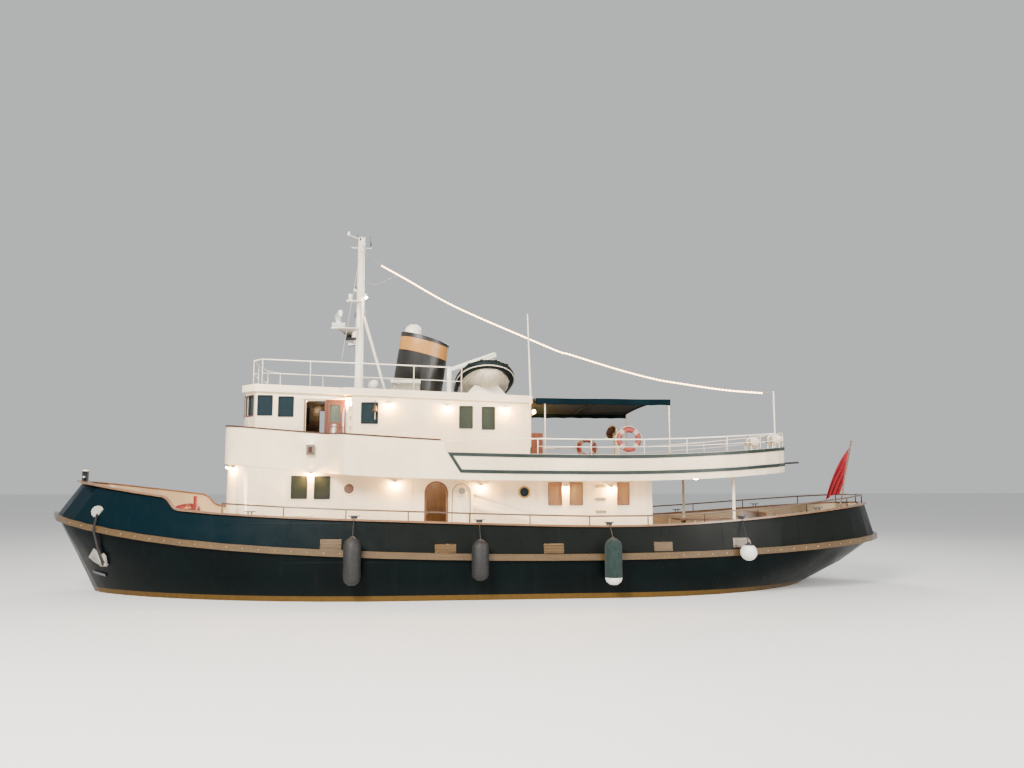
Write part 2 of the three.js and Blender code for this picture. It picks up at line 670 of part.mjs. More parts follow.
function makeRoofRail() {
  const height = 780;
  const path = [...roofRailPath, [6640, 0], ...roofRailPath.toReversed().map(([x, y]) => [x, -y])];
  const rails = [[1, 20], [0.47, 12]].map(([share, radius]) =>
    pipe(path.map(([x, y]) => [x, y, roofTop(x) + height * share]), radius, share === 1 ? 6 : 4));
  const posts = path.map(([x, y]) => rod([x, y, roofTop(x) - 50], [x, y, roofTop(x) + height], 18, 5));
  return cut(join(...rails, ...posts), roofBelow);
}

const dome = { x: 2980, y: 800, z: 6290, radius: 160 };

function makeMast() {
  const foot = roofTop(mastX) - 60;
  const parts = [
    rod([mastX, 0, foot], [mastX, 0, mastTop], 145, 16, 108),
    rod([mastX, 0, foot], [mastX, 0, foot + 90], 230, 16),
    // Cross arms, the shelf with its lamp, horns and the radar's bracket
    rod([mastX, -560, 10960], [mastX, 560, 10960], 20, 5),
    rod([mastX, -560, 10760], [mastX, 560, 10760], 20, 5),
    rod([mastX - 320, 0, 10880], [mastX + 320, 0, 10880], 20, 5),
    rod([mastX, 0, 11160], [mastX + 420, 0, 11300], 16, 5),
    rod([mastX + 420, 0, 11290], [mastX + 420, 0, 11420], 60, 8, 20),
    box(mastX - 60, mastX + 430, -190, 190, 9060, 9100),
    rod([mastX + 330, 0, 9090], [mastX + 330, 0, 9330], 60, 10),
    box(mastX, mastX + 900, -150, 150, 8170, 8210),
    box(radarX - 210, radarX + 190, -140, 140, 8200, 8360),
    rod([radarX, 0, 8350], [radarX, 0, radarZ], 90, 16),
    profile(polygon([[mastX + 60, 7640], [mastX + 700, 8180], [mastX + 60, 8180]]), -12, 12),
    rod([mastX + 60, 60, 7860], [mastX + 460, 60, 7860], 34, 8, 70),
    rod([mastX + 60, -60, 7690], [mastX + 360, -60, 7690], 34, 8, 70),
    rod([mastX - 120, 60, 8600], [2600, 520, 6000], 45, 6),
    rod([mastX - 120, -60, 8600], [2600, -520, 6000], 45, 6),
    // The small dome on its own foot, by a strut
    rod([2600, 520, 6050], [dome.x, dome.y, 6050], 40, 5),
    rod([dome.x, dome.y, 5900], [dome.x, dome.y, dome.z], 60, 10),
    ball(dome.x, dome.y, dome.z, dome.radius, 12, 8),
  ];
  return cut(join(...parts), roofBelow);
}

function makeRadarScanner() {
  const turn = THREE.MathUtils.degToRad(12);
  const bar = new THREE.BoxGeometry(110, 1000, 190).translate(0, 0, 190).rotateZ(turn);
  const hub = rod([0, 0, seat], [0, 0, 130], 80, 16);
  return moved(join(hub, solid(bar)), radarX, 0, radarZ);
}

// The funnel's sloping mouth, and the plate that closes it a little way down
const funnelMouth = (x) => 8090 + 0.275 * (x - 2160);
const funnelPlate = (x) => funnelMouth(x) - 160;
const funnelBelow = (line) => profile(strip(() => 5000, line, 0, 3200, 1));

function makeFunnel() {
  const rake = 0.15;
  const tube = (lengthHalf, widthHalf, z0, z1) => {
    const oval = new THREE.Shape().absellipse(0, 0, lengthHalf, widthHalf, 0, Math.PI * 2, false, 0);
    const depth = z1 - z0;
    const geometry = new THREE.ExtrudeGeometry(oval, { depth, bevelEnabled: false, curveSegments: 14 });
    const lean = new THREE.Matrix4().makeShear(0, 0, 0, 0, -rake, 0);
    geometry.translate(0, 0, z0 - 6000).applyMatrix4(lean);
    return solid(geometry.translate(funnelMid, 0, 6000));
  };
  const outside = tube(806, 600, 5800, 8900).intersect(funnelBelow(funnelMouth));
  const well = cut(tube(781, 575, 5800, 8950), funnelBelow(funnelPlate));
  return cut(outside, well, roofBelow);
}

function makeFunnelDome() {
  const x = 1780;
  const shell = turned([
    [0, 0], [150, 0], [175, 70], [240, 105], [280, 233], [280, 373], [233, 500], [128, 583], [0, 606],
  ], 14);
  const seated = funnelBelow((at) => funnelPlate(at) + seat);
  return cut(solid(shell.translate(x, 0, funnelPlate(x) - 50)), seated);
}

// The locker on the roof, beside the funnel
function makeRoofLocker() {
  const [x0, x1, y0, y1, lidZ] = [1550, 2430, 950, 1450, 6300];
  const lid = box(x0 - 20, x1 + 20, y0 - 20, y1 + 20, lidZ, lidZ + 80);
  return cut(join(box(x0, x1, y0, y1, 5900, lidZ + 10), lid), roofBelow);
}

// The tender lies across the roof, bow to port
const tender = { x: -550, y: 0, z: 6490, tilt: 4 };

function tenderPlace(geometry) {
  geometry.rotateX(THREE.MathUtils.degToRad(tender.tilt));
  return solid(geometry.translate(tender.x, tender.y, tender.z));
}

function tenderPath() {
  const port = [[-815, -1550, 60], [-820, -700, 60], [-810, 300, 80], [-690, 1000, 160], [-420, 1480, 250]];
  const points = [...port, [0, 1660, 290], ...port.toReversed().map(([x, y, z]) => [-x, y, z])];
  return new THREE.CatmullRomCurve3(points.map((p) => new THREE.Vector3(...p)), false, "centripetal");
}

const tubeRadius = 140;

function makeTenderTube(radius = tubeRadius) {
  const circle = new THREE.Shape().absarc(0, 0, radius, 0, Math.PI * 2, false);
  const geometry = new THREE.ExtrudeGeometry(circle, {
    steps: 22, bevelEnabled: false, extrudePath: tenderPath(), curveSegments: 5,
  });
  return tenderPlace(geometry);
}

// Sections of the tender's hull. Columns: y, keel z, chine half, chine z, top half, top z
const tenderSections = [
  [-1450, -400, 700, -170, 880, -10], [-400, -420, 720, -170, 890, -10], [500, -390, 670, -120, 850, 20],
  [1050, -300, 520, -20, 720, 100], [1560, -60, 250, 120, 400, 215],
];

function makeTenderHull() {
  const positions = [];
  for (const [y, keelZ, chine, chineZ, top, topZ] of tenderSections) {
    for (const [x, z] of [[0, keelZ], [chine, chineZ], [top, topZ], [-top, topZ], [-chine, chineZ]]) {
      positions.push(x, y, z);
    }
  }
  const count = 5;
  const index = [];
  for (let s = 0; s < tenderSections.length - 1; s += 1) {
    for (let i = 0; i < count; i += 1) {
      const j = (i + 1) % count;
      const [a, b, c, d] = [s * count + i, s * count + j, (s + 1) * count + j, (s + 1) * count + i];
      index.push(a, d, c, a, c, b);
    }
  }
  for (const [start, turn] of [[0, 1], [(tenderSections.length - 1) * count, -1]]) {
    for (let i = 1; i < count - 1; i += 1) {
      if (turn > 0) index.push(start, start + i, start + i + 1);
      else index.push(start, start + i + 1, start + i);
    }
  }
  const geometry = new THREE.BufferGeometry();
  geometry.setAttribute("position", new THREE.Float32BufferAttribute(positions, 3));
  geometry.setIndex(index);
  return tenderPlace(geometry);
}

// Steering stand and outboard engine, fixed to the tender's hull
function tenderFittings() {
  const block = (x, y0, y1, z0, z1) => tenderPlace(
    new THREE.BoxGeometry(2 * x, y1 - y0, z1 - z0).translate(0, (y0 + y1) / 2, (z0 + z1) / 2));
  return join(block(220, 400, 640, -50, 500), block(150, -1720, -1380, -250, 620));
}

function makeTenderCradle(tenderBody) {
  const [foot, railTop, { x }] = [5700, 5990, tender];
  const chock = (y, top) => profile(
    polygon([[x - 900, foot], [x + 900, foot], [x + 380, top], [x - 380, top]]), y - 60, y + 60);
  const rail = (middle) => box(middle - 40, middle + 40, -1100, 900, foot, railTop);
  const body = join(chock(-900, 6150), chock(700, 6320), rail(x - 370), rail(x + 370));
  return cut(body, roofBelow, tenderBody, moved(tenderBody, 0, 0, -seat), moved(tenderBody, 0, 0, 200));
}

function makeCranePost() {
  const { x, y, radius, top } = cranePost;
  const post = rod([x, y, 5700], [x, y, top], radius, 16);
  const foot = rod([x, y, 5700], [x, y, roofTop(x) + 30], 130, 16);
  return cut(join(post, foot), roofBelow);
}

function makeCraneTurret() {
  const { x, y, top } = cranePost;
  const cheek = polygon([
    [x - 70, top + 100], [x + 70, top + 100], [x + 60, boomPivotZ + 70], [x - 60, boomPivotZ + 70],
  ]);
  const cheeks = [-48, 48].map((off) => profile(cheek, y + off - 10, y + off + 10));
  const pin = rod([x, y - 58, boomPivotZ], [x, y + 58, boomPivotZ], 22, 24);
  return join(rod([x, y, top + seat], [x, y, top + 120], 85, 16), ...cheeks, pin);
}

function makeCraneBoom() {
  const { x, y } = cranePost;
  const [reach, rootHalf, tipHalf, wide] = [1500, 55, 80, 70];
  const outline = polygon([[0, -rootHalf], [0, rootHalf], [-reach, tipHalf], [-reach, -tipHalf]]);
  const boom = profile(outline, -wide / 2, wide / 2);
  const tip = new THREE.CylinderGeometry(tipHalf, tipHalf, wide, 14).translate(-reach, 0, 0);
  const root = new THREE.CylinderGeometry(60, 60, wide, 16);
  const bore = solid(new THREE.CylinderGeometry(22.6, 22.6, 90, 24));
  const body = cut(join(boom, solid(tip), solid(root)), bore);
  const place = new THREE.BufferGeometry().copy(geometryOf(body));
  return solid(place.rotateY(THREE.MathUtils.degToRad(19.5)).translate(x, y, boomPivotZ));
}

const awningBox = { fore: -1860, aft: -5970, half: 2700, edge: 5730, crown: 90, thick: 24, valance: 190 };

// The awning's section, from its underside lowered by the drop up to the thickness
function awningShape(drop, thick) {
  const { half, edge, crown } = awningBox;
  const shape = new THREE.Shape();
  shape.moveTo(-half, edge - drop);
  shape.quadraticCurveTo(0, edge + 2 * crown - drop, half, edge - drop);
  shape.lineTo(half, edge + thick);
  shape.quadraticCurveTo(0, edge + 2 * crown + thick, -half, edge + thick);
  return shape;
}

function makeAwning() {
  const { fore, aft, half, edge, thick, valance } = awningBox;
  const skirt = (y0, y1) => box(aft, fore, y0, y1, edge - valance, edge + thick / 2);
  return join(section(awningShape(0, thick), aft, fore, 14), both(skirt, half - thick, half));
}

function makeAwningFrame() {
  const { fore, aft, half, edge, crown } = awningBox;
  const polesX = [fore - 290, aft + 30];
  const y = half - 90;
  const underside = (across) => edge + crown * (1 - (across / half) ** 2) - 12;
  const parts = [];
  const [high, tubeHalf] = [underside(y), 22];
  for (const across of [y, -y]) {
    parts.push(rod([polesX[0] + 20, across, high], [polesX[1] - 20, across, high], tubeHalf, 6));
    for (const x of polesX) parts.push(rod([x, across, boatDeckZ(x)], [x, across, high], tubeHalf, 6));
  }
  for (const x of [polesX[0], (polesX[0] + polesX[1]) / 2, polesX[1]]) {
    parts.push(pipe(spaced(-y, y, 6).map((across) => [x, across, underside(across)]), 20, 6));
  }
  return cut(join(...parts), boatDeckBelow, section(awningShape(seat, 300), aft - 100, fore + 100, 14));
}

function makeLifebuoy(side) {
  const x = -4560;
  const railInside = wingHalf - plating / 2 - topRail * Math.cos(Math.PI / 6);
  const buoy = ring(x, side * (railInside - 65), panelTop(x) + 445, 290, 84);
  const outboard = [railInside - seat, railInside + 100].map((y) => side * y).sort((a, b) => a - b);
  return cut(buoy, box(x - 400, x + 400, ...outboard, 3900, 5200));
}

function makeCowl() {
  const [x, y] = [-4780, 700];
  const stem = rod([x, y, 3100], [x, y, 4700], 110, 14);
  const neck = [x + 50, y + 34, 4800];
  const bell = join(ball(x, y, 4790, 200, 12, 8), stem, rod(neck, [x + 222, y + 150, 4840], 190, 14, 240));
  const mouth = join(ball(x, y, 4790, 175, 10, 6), rod(neck, [x + 256, y + 173, 4846], 165, 14, 225));
  return cut(bell, mouth, boatDeckBelow);
}

function makeCabinet() {
  const fore = upperAft - seat - 40;
  return cut(box(-2160, fore, upperHalf - 560, upperHalf - 20, 3000, 4740), boatDeckBelow);
}

function makeWindlassFrame() {
  const floor = 1500;
  const parts = [
    box(8180, 9120, -560, 560, floor, 1900),
    ...[-420, -200, 200, 420].map((y) => profile(
      polygon([[8330, 1880], [8970, 1880], [8790, 2560], [8510, 2560]]), y - 30, y + 30)),
    box(8750, 9080, -150, 150, 1880, 2500),
    rod([8420, 0, 1890], [8420, 0, 2840], 60, 12),
  ];
  const shaftHole = rod([8650, -700, 2380], [8650, 700, 2380], 51, 24);
  return cut(join(...parts), deckBelow, shaftHole);
}

function makeWindlassHeads() {
  const shaft = rod([8650, -840, 2380], [8650, 840, 2380], 50, 12);
  const head = (s) => join(
    rod([8650, s * 470, 2380], [8650, s * 640, 2380], 210, 12, 130),
    rod([8650, s * 640, 2380], [8650, s * 800, 2380], 130, 12, 210));
  const gypsy = (s) => join(
    rod([8650, s * 240, 2380], [8650, s * 285, 2380], 230, 12),
    rod([8650, s * 280, 2380], [8650, s * 345, 2380], 160, 12),
    rod([8650, s * 335, 2380], [8650, s * 380, 2380], 230, 12));
  return join(shaft, head(1), head(-1), gypsy(1), gypsy(-1));
}

function makeBitts(x, spread) {
  const parts = [box(x - 260, x + 260, -spread - 220, spread + 220, 1000, deckZ(x) + 70)];
  for (const s of [1, -1]) {
    parts.push(rod([x, s * spread, 1000], [x, s * spread, deckZ(x) + 700], 130, 12));
    parts.push(rod([x, s * spread, deckZ(x) + 700], [x, s * spread, deckZ(x) + 740], 160, 12));
  }
  parts.push(rod([x, -spread - 330, deckZ(x) + 480], [x, spread + 330, deckZ(x) + 480], 60, 12));
  return cut(join(...parts), deckBelow);
}

// Half-breadth of the side at a height above the water
function sideHalf(x, z) {
  let i = 0;
  while (i < aboveWater.length - 2 && levelZ(aboveWater[i + 1], x) < z) i += 1;
  const [a, b] = [aboveWater[i], aboveWater[i + 1]];
  const t = (z - levelZ(a, x)) / (levelZ(b, x) - levelZ(a, x));
  return levelHalf(a, x) + (levelHalf(b, x) - levelHalf(a, x)) * t;
}

// The two flukes of an anchor, each by its corners' x and z
const anchorFlukes = [
  [[10840, 1368], [11110, 1090], [10940, 960], [10660, 833], [10600, 960], [10740, 1290]],
  [[10585, 1200], [10515, 1245], [10450, 1160], [10452, 882], [10555, 850]],
];
const hawse = { x: 10706, z: 2415, radius: 175 };

// The hawse, the chain down to the anchor, its shank, crown and flukes
function makeAnchor(side) {
  const at = (x, z, off) => [x, side * (sideHalf(x, z) + off), z];
  const { x, z, radius } = hawse;
  const crown = [10560, 880];
  const fluke = (corners) => wasm.Manifold.hull(corners.flatMap((p) => [at(...p, 20), at(...p, 95)]));
  const parts = [
    rod(at(x, z, -20), at(x, z, 75), radius, 12),
    rod(at(x, z - 70, 60), at(x, railZ(x) - 30, 155), 34, 5),
    rod(at(x, railZ(x) + 10, 150), at(x - 30, 1380, 110), 34, 5),
    rod(at(x - 30, 1400, 110), at(...crown, 100), 48, 5),
    rod(at(10680, 890, 60), at(10470, 905, 60), 62, 6),
    ...anchorFlukes.map(fluke),
  ];
  const shell = loft([...hullLevels.slice(4), deckLevel, topLevel], seat);
  return cut(join(...parts), shell, sideBar(-railDepth / 2 - 1, railDepth / 2 + 1, railProud + 1));
}

// Fenders on the port side. Columns: name, x, low z, high z, radius, colour
const fenders = [
  ["fender_black_fore", 3330, 490, 1770, 240, 0x16181b],
  ["fender_black_mid", -150, 580, 1670, 240, 0x16181b],
  ["fender_green", -3880, 420, 1690, 250, 0x17332d],
];

function fenderBody([, x, low, high, radius]) {
  const y = railHalf + railProud + radius + 4;
  const h = high - low;
  const shell = turned([[0, 0], [radius * 0.45, 10], [radius * 0.85, h * 0.07], [radius, h * 0.16],
    [radius, h * 0.84], [radius * 0.85, h * 0.93], [radius * 0.4, h], [0, h + 50]], 12);
  return { body: solid(shell.translate(x, y, low)), y };
}

function makeFender(row) {
  const [, x, , high] = row;
  const { body, y } = fenderBody(row);
  const capY = levelHalf(topLevel, x) + 60;
  const capZ = bulwarkLow(x) + 50;
  const lanyard = join(
    rod([x, y, high], [x, capY + 40, capZ + 14], 12, 6),
    rod([x, capY + 46, capZ + 10], [x, levelHalf(topLevel, x) - 10, capZ + 4], 12, 6));
  return fitOn(join(body, lanyard), capRail);
}

function makeBallFender() {
  const [x, radius] = [-7900, 240];
  const y = levelHalf(railLevel, x) + railProud + radius + 4;
  const capZ = bulwarkLow(x) + 50;
  const capY = levelHalf(topLevel, x);
  const body = join(
    ball(x, y, 1260, radius, 16, 10), rod([x, y, 1460], [x, y, 1540], 50, 8),
    rod([x, y, 1500], [x, capY + 100, capZ + 14], 12, 6),
    rod([x, capY + 106, capZ + 10], [x, capY - 10, capZ + 4], 12, 6));
  return fitOn(body, capRail);
}

const staffFoot = [-12390, 0, 1500];
const staffHead = [-13100, 0, 4650];

function makeStaff() {
  const socket = rod([-12430, 0, 1500], [-12430, 0, deckZ(-12430) + 120], 90, 12);
  const [headX, , headZ] = staffHead;
  const staff = join(rod(staffFoot, staffHead, 30, 8, 20), ball(headX, 0, headZ + 10, 38, 8, 5), socket);
  const around = join(bulwarkRing, capRail);
  return cut(staff, deckBelow, around, moved(around, seat, 0, 0), moved(around, -seat, 0, 0));
}

function makeEnsign() {
  const shape = polygon([
    [-13050, 4520], [-13010, 4340], [-12930, 3900], [-12840, 3380], [-12700, 2850],
    [-12440, 2800], [-12180, 2560], [-12000, 2520], [-12060, 3040], [-12320, 3340],
    [-12500, 3760], [-12720, 4140], [-12900, 4460],
  ]);
  return cut(profile(shape, -80, 80), rod(staffFoot, staffHead, 30 + seat, 8, 20 + seat));
}

function makeTable() {
  const [x0, x1] = [-8700, -6900];
  const top = 2080;
  const legs = [x0 + 250, x1 - 250].map((x) => box(x - 60, x + 60, -60, 60, 1000, top));
  const feet = [x0 + 250, x1 - 250].map((x) => box(x - 60, x + 60, -300, 300, 1000, deckZ(x) + 60));
  return cut(join(box(x0, x1, -500, 500, top - 45, top), ...legs, ...feet), deckBelow);
}

function makeBench() {
  const [x0, x1] = [-9600, -9100];
  const seatTop = 1840;
  const back = box(x0, x0 + 60, -1100, 1100, seatTop - 20, 2300);
  const end = (y) => box(x0 + 20, x1 - 40, y - 50, y + 50, 1000, seatTop);
  return cut(join(box(x0, x1, -1100, 1100, seatTop - 60, seatTop), back, end(-950), end(950)), deckBelow);
}

function makeConsole() {
  const top = helm.z + 120;
  const body = join(
    box(5950, 6450, -900, 900, 3000, 4620), box(helm.x + 20, 6000, -110, 110, helm.z - 120, top),
    box(helm.x + 80, 6100, -110, 110, 4300, top));
  return cut(body, boatDeckBelow);
}

function makeHelmWheel() {
  const { x, z, radius } = helm;
  const rim = new THREE.TorusGeometry(radius - 90, 20, 4, 16).rotateY(Math.PI / 2).translate(x - 60, 0, z);
  const parts = [solid(rim), rod([x - 100, 0, z], [x + 20 - seat, 0, z], 60, 16)];
  for (let i = 0; i < 8; i += 1) {
    const a = ((i + 0.5) * Math.PI) / 4;
    parts.push(rod([x - 60, 0, z], [x - 60, radius * Math.sin(a), z + radius * Math.cos(a)], 16, 4));
  }
  return join(...parts);
}

function makePropeller() {
  const parts = [rod([-9800 - seat, 0, propellerZ], [-10160, 0, propellerZ], 150, 20, 70)];
  const r = propellerRadius;
  for (let i = 0; i < 4; i += 1) {
    const blade = new THREE.Shape();
    blade.moveTo(-0.1 * r, 0.07 * r);
    blade.bezierCurveTo(-0.39 * r, 0.35 * r, -0.4 * r, 0.85 * r, -0.07 * r, r);
    blade.bezierCurveTo(0.28 * r, 0.99 * r, 0.35 * r, 0.49 * r, 0.1 * r, 0.07 * r);
    const geometry = new THREE.ExtrudeGeometry(blade, { depth: 36, bevelEnabled: false, curveSegments: 8 });
    geometry.translate(0, 0, -18).rotateX(Math.PI / 2);
    // Pitched about its own length, then turned round the shaft
    geometry.rotateZ(THREE.MathUtils.degToRad(62)).rotateX((i * Math.PI) / 2 + 0.4);
    parts.push(solid(geometry.translate(propellerX, 0, propellerZ)));
  }
  return join(...parts);
}

function makeRudder() {
  const shape = polygon([
    [rudderX + 200, -2600], [rudderX + 200, -800], [rudderX - 780, -720],
    [rudderX - 900, -1200], [rudderX - 900, -2450], [rudderX - 820, -2600],
  ]);
  const blade = profile(shape, -45, 45);
  return join(blade, rod([rudderX, 0, heelTop + seat], [rudderX, 0, 280], 80, 16));
}

// The finished boat
const boat = new THREE.Group();

function add(name, manifold, color, roughness = 0.6, metalness = 0) {
  const material = new THREE.MeshStandardMaterial({ color, roughness, metalness });
  const mesh = new THREE.Mesh(geometryOf(manifold), material);
  mesh.name = name;
  boat.add(mesh);
}

const white = 0xece5d6;
const green = 0x16302e;
const wood = 0x7a4424;

add("hull", makeHull(), green, 0.35);
add("bulwark_port", makeBulwark(1), green, 0.35);
add("bulwark_stbd", makeBulwark(-1), green, 0.35);
add("rudder_heel", makeHeel(), 0x6a2420);
add("rub_rail", makeRubRail(), 0xb98a4e, 0.5);
add("cap_rail", capRail, wood, 0.5);
add("bulwark_handrail", makeHandrail(), wood, 0.5);
add("lower_deckhouse", makeLowerHouse(), white);
add("inner_bulkheads", makeBulkheads(), wood);
add("door_port", makeDoor(1), white);
add("door_stbd", makeDoor(-1), white);
add("boat_deck", makeBoatDeck(), white);
add("boat_deck_bulwark", makeBoatDeckBulwark(), white);
add("bridge_cap", makeBridgeCap(), wood, 0.5);
add("boat_deck_moulding", makeMoulding(), green);
add("boat_deck_rail", makeBoatDeckRail(), white, 0.4);
add("boat_deck_pillar_port", makePillar(-7950, 2450), white);
add("boat_deck_pillar_stbd", makePillar(-7950, -2450), white);
add("upper_deckhouse", makeUpperHouse(), white);
add("wheelhouse", makeWheelhouse(), white);
add("wheelhouse_door_port", makeWheelDoor(1), wood, 0.4);
add("wheelhouse_door_stbd", makeWheelDoor(-1), wood, 0.4);
add("upper_roof", makeUpperRoof(), white);
add("wheelhouse_roof", makeWheelRoof(), white);
add("roof_rail", makeRoofRail(), white, 0.4);
add("mast", makeMast(), white, 0.5);
add("radar_scanner", makeRadarScanner(), white);
add("funnel", makeFunnel(), 0x17181a, 0.45);
add("funnel_dome", makeFunnelDome(), white);
add("roof_locker", makeRoofLocker(), white);
const tenderTube = makeTenderTube();
const tenderShell = makeTenderHull();
add("tender_tube", tenderTube, 0x1d3b38);
add("tender_hull", cut(join(tenderShell, tenderFittings()), makeTenderTube(tubeRadius + 2 * seat)), white);
add("tender_cradle", makeTenderCradle(join(tenderShell, tenderTube)), white);
add("crane_post", makeCranePost(), 0x8d8378);
add("crane_turret", makeCraneTurret(), white);
add("crane_boom", makeCraneBoom(), white);
add("awning_frame", makeAwningFrame(), white, 0.4);
add("awning", makeAwning(), 0x123a33, 0.9);
add("lifebuoy_port", makeLifebuoy(1), 0xd5512f);
add("lifebuoy_stbd", makeLifebuoy(-1), 0xd5512f);
add("cowl_vent", makeCowl(), white);
add("deck_cabinet", makeCabinet(), wood);
add("windlass_frame", makeWindlassFrame(), 0xa03222);
add("windlass_heads", makeWindlassHeads(), 0xa03222);
add("bitts_fore", makeBitts(10350, 330), 0x23262a);
add("bitts_aft", makeBitts(-11300, 420), 0x23262a);
add("anchor_port", makeAnchor(1), 0xd9d9d4);
add("anchor_stbd", makeAnchor(-1), 0xd9d9d4);
for (const row of fenders) add(row[0], makeFender(row), row[5], 0.8);
add("fender_ball", makeBallFender(), 0xe8e8e4);
add("ensign_staff", makeStaff(), wood, 0.4);
add("ensign", makeEnsign(), 0xb01f24, 0.9);
add("aft_table", makeTable(), 0xa9794a);
add("aft_bench", makeBench(), 0xa9794a);
add("helm_console", makeConsole(), wood);
add("helm_wheel", makeHelmWheel(), wood);
add("propeller", makePropeller(), 0xb08d3c, 0.35, 0.8);
add("rudder", makeRudder(), 0x6a2420);

export default boat;
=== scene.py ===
import json
import math

import bmesh
import bpy
from mathutils.geometry import interpolate_bezier
from mathutils import Matrix, Vector

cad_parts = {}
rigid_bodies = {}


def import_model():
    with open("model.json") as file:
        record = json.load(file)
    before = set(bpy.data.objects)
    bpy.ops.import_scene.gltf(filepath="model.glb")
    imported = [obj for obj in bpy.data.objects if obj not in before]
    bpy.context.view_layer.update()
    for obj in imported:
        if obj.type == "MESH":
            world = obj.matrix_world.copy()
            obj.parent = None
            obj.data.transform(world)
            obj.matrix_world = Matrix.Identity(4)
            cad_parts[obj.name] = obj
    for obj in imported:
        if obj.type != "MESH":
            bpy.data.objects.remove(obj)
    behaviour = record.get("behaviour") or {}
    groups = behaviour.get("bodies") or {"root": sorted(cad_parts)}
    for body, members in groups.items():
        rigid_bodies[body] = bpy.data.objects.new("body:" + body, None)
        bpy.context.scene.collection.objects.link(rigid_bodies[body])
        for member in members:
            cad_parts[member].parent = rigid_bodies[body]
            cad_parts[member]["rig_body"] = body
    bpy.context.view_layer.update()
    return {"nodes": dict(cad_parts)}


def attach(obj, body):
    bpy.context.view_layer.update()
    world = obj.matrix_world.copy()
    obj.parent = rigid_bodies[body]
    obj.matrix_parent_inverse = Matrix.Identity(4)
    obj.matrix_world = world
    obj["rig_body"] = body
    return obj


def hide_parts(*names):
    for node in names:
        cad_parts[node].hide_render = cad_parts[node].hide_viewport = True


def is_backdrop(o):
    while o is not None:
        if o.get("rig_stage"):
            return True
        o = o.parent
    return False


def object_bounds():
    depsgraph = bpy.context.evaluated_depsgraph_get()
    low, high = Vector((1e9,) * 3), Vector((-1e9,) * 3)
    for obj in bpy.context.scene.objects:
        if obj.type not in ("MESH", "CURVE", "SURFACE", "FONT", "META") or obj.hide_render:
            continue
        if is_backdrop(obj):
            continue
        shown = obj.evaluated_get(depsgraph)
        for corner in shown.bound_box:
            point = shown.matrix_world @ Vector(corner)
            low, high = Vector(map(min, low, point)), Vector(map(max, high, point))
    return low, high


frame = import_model()
scene = bpy.context.scene
print("frame loaded")


class Finish:
    # One node material. Patterns read Object coordinates, in metres, unless they follow a piece's own UV map.
    def __init__(self, name, colour, roughness, **shaderValues):
        self.material = bpy.data.materials.new(name)
        self.material.use_nodes = True
        self.tree = self.material.node_tree
        self.shader = self.tree.nodes["Principled BSDF"]
        self.object = self.tree.nodes.new("ShaderNodeTexCoord").outputs["Object"]
        self.shader.inputs["Base Color"].default_value = (*colour, 1)
        self.shader.inputs["Roughness"].default_value = roughness
        for label, value in shaderValues.items():
            self.shader.inputs[label.replace("_", " ")].default_value = value
        self.relief = None

    def add(self, kind, values=(), **settings):
        node = self.tree.nodes.new(kind)
        for key, value in settings.items():
            setattr(node, key, value)
        for key, value in dict(values).items():
            self.put(node.inputs[key], value)
        return node

    def put(self, socket, value):
        if isinstance(value, bpy.types.NodeSocket):
            self.tree.links.new(value, socket)
        elif isinstance(value, (tuple, list)) and socket.type == "RGBA" and len(value) == 3:
            socket.default_value = (*value, 1)
        else:
            socket.default_value = value

    def scaled(self, x, y, z, shift=(0, 0, 0)):
        node = self.add("ShaderNodeMapping", {"Vector": self.object, "Scale": (x, y, z), "Location": shift})
        return node.outputs["Vector"]

    def uv(self, name):
        return self.add("ShaderNodeUVMap", uv_map=name).outputs["UV"]

    def axes(self, source=None):
        return self.add("ShaderNodeSeparateXYZ", {"Vector": source or self.object}).outputs

    def noise(self, scale, detail=4, roughness=0.55, source=None, distortion=0.0):
        node = self.add("ShaderNodeTexNoise", {"Vector": source or self.object, "Scale": scale, "Detail": detail,
                                              "Roughness": roughness, "Distortion": distortion})
        return node.outputs["Fac"]

    def maths(self, operation, a, b=0.0, c=0.0, clamp=False):
        node = self.add("ShaderNodeMath", operation=operation, use_clamp=clamp)
        for socket, value in zip(node.inputs, (a, b, c)):
            self.put(socket, value)
        return node.outputs[0]

    def span(self, value, low, high, newLow=0.0, newHigh=1.0):
        node = self.add("ShaderNodeMapRange", {"Value": value, "From Min": low, "From Max": high,
                                              "To Min": newLow, "To Max": newHigh}, clamp=True)
        return node.outputs["Result"]

    def stripes(self, value, pitch, width):
        # 1 on a narrow line at each multiple of the pitch
        part = self.maths("FRACT", self.maths("ADD", self.maths("DIVIDE", value, pitch), 0.5))
        return self.span(self.maths("ABSOLUTE", self.maths("SUBTRACT", part, 0.5)),
                         width / pitch * 0.35, width / pitch * 0.6, 1, 0)

    def mixed(self, share, a, b):
        node = self.add("ShaderNodeMix", data_type="RGBA")
        for index, value in ((0, share), (6, a), (7, b)):
            self.put(node.inputs[index], value)
        return node.outputs[2]

    def colour(self, value):
        self.put(self.shader.inputs["Base Color"], value)
        return self

    def rough(self, value):
        self.put(self.shader.inputs["Roughness"], value)
        return self

    def bump(self, height, distance, strength=1.0):
        node = self.add("ShaderNodeBump", {"Height": height, "Distance": distance, "Strength": strength})
        if self.relief:
            self.tree.links.new(self.relief, node.inputs["Normal"])
        self.relief = node.outputs["Normal"]
        self.tree.links.new(self.relief, self.shader.inputs["Normal"])
        return self


enamelLook = {"orangePeel": 0.0006, "plateBow": 0.006, "streaks": 0.35, "grime": 0.25}


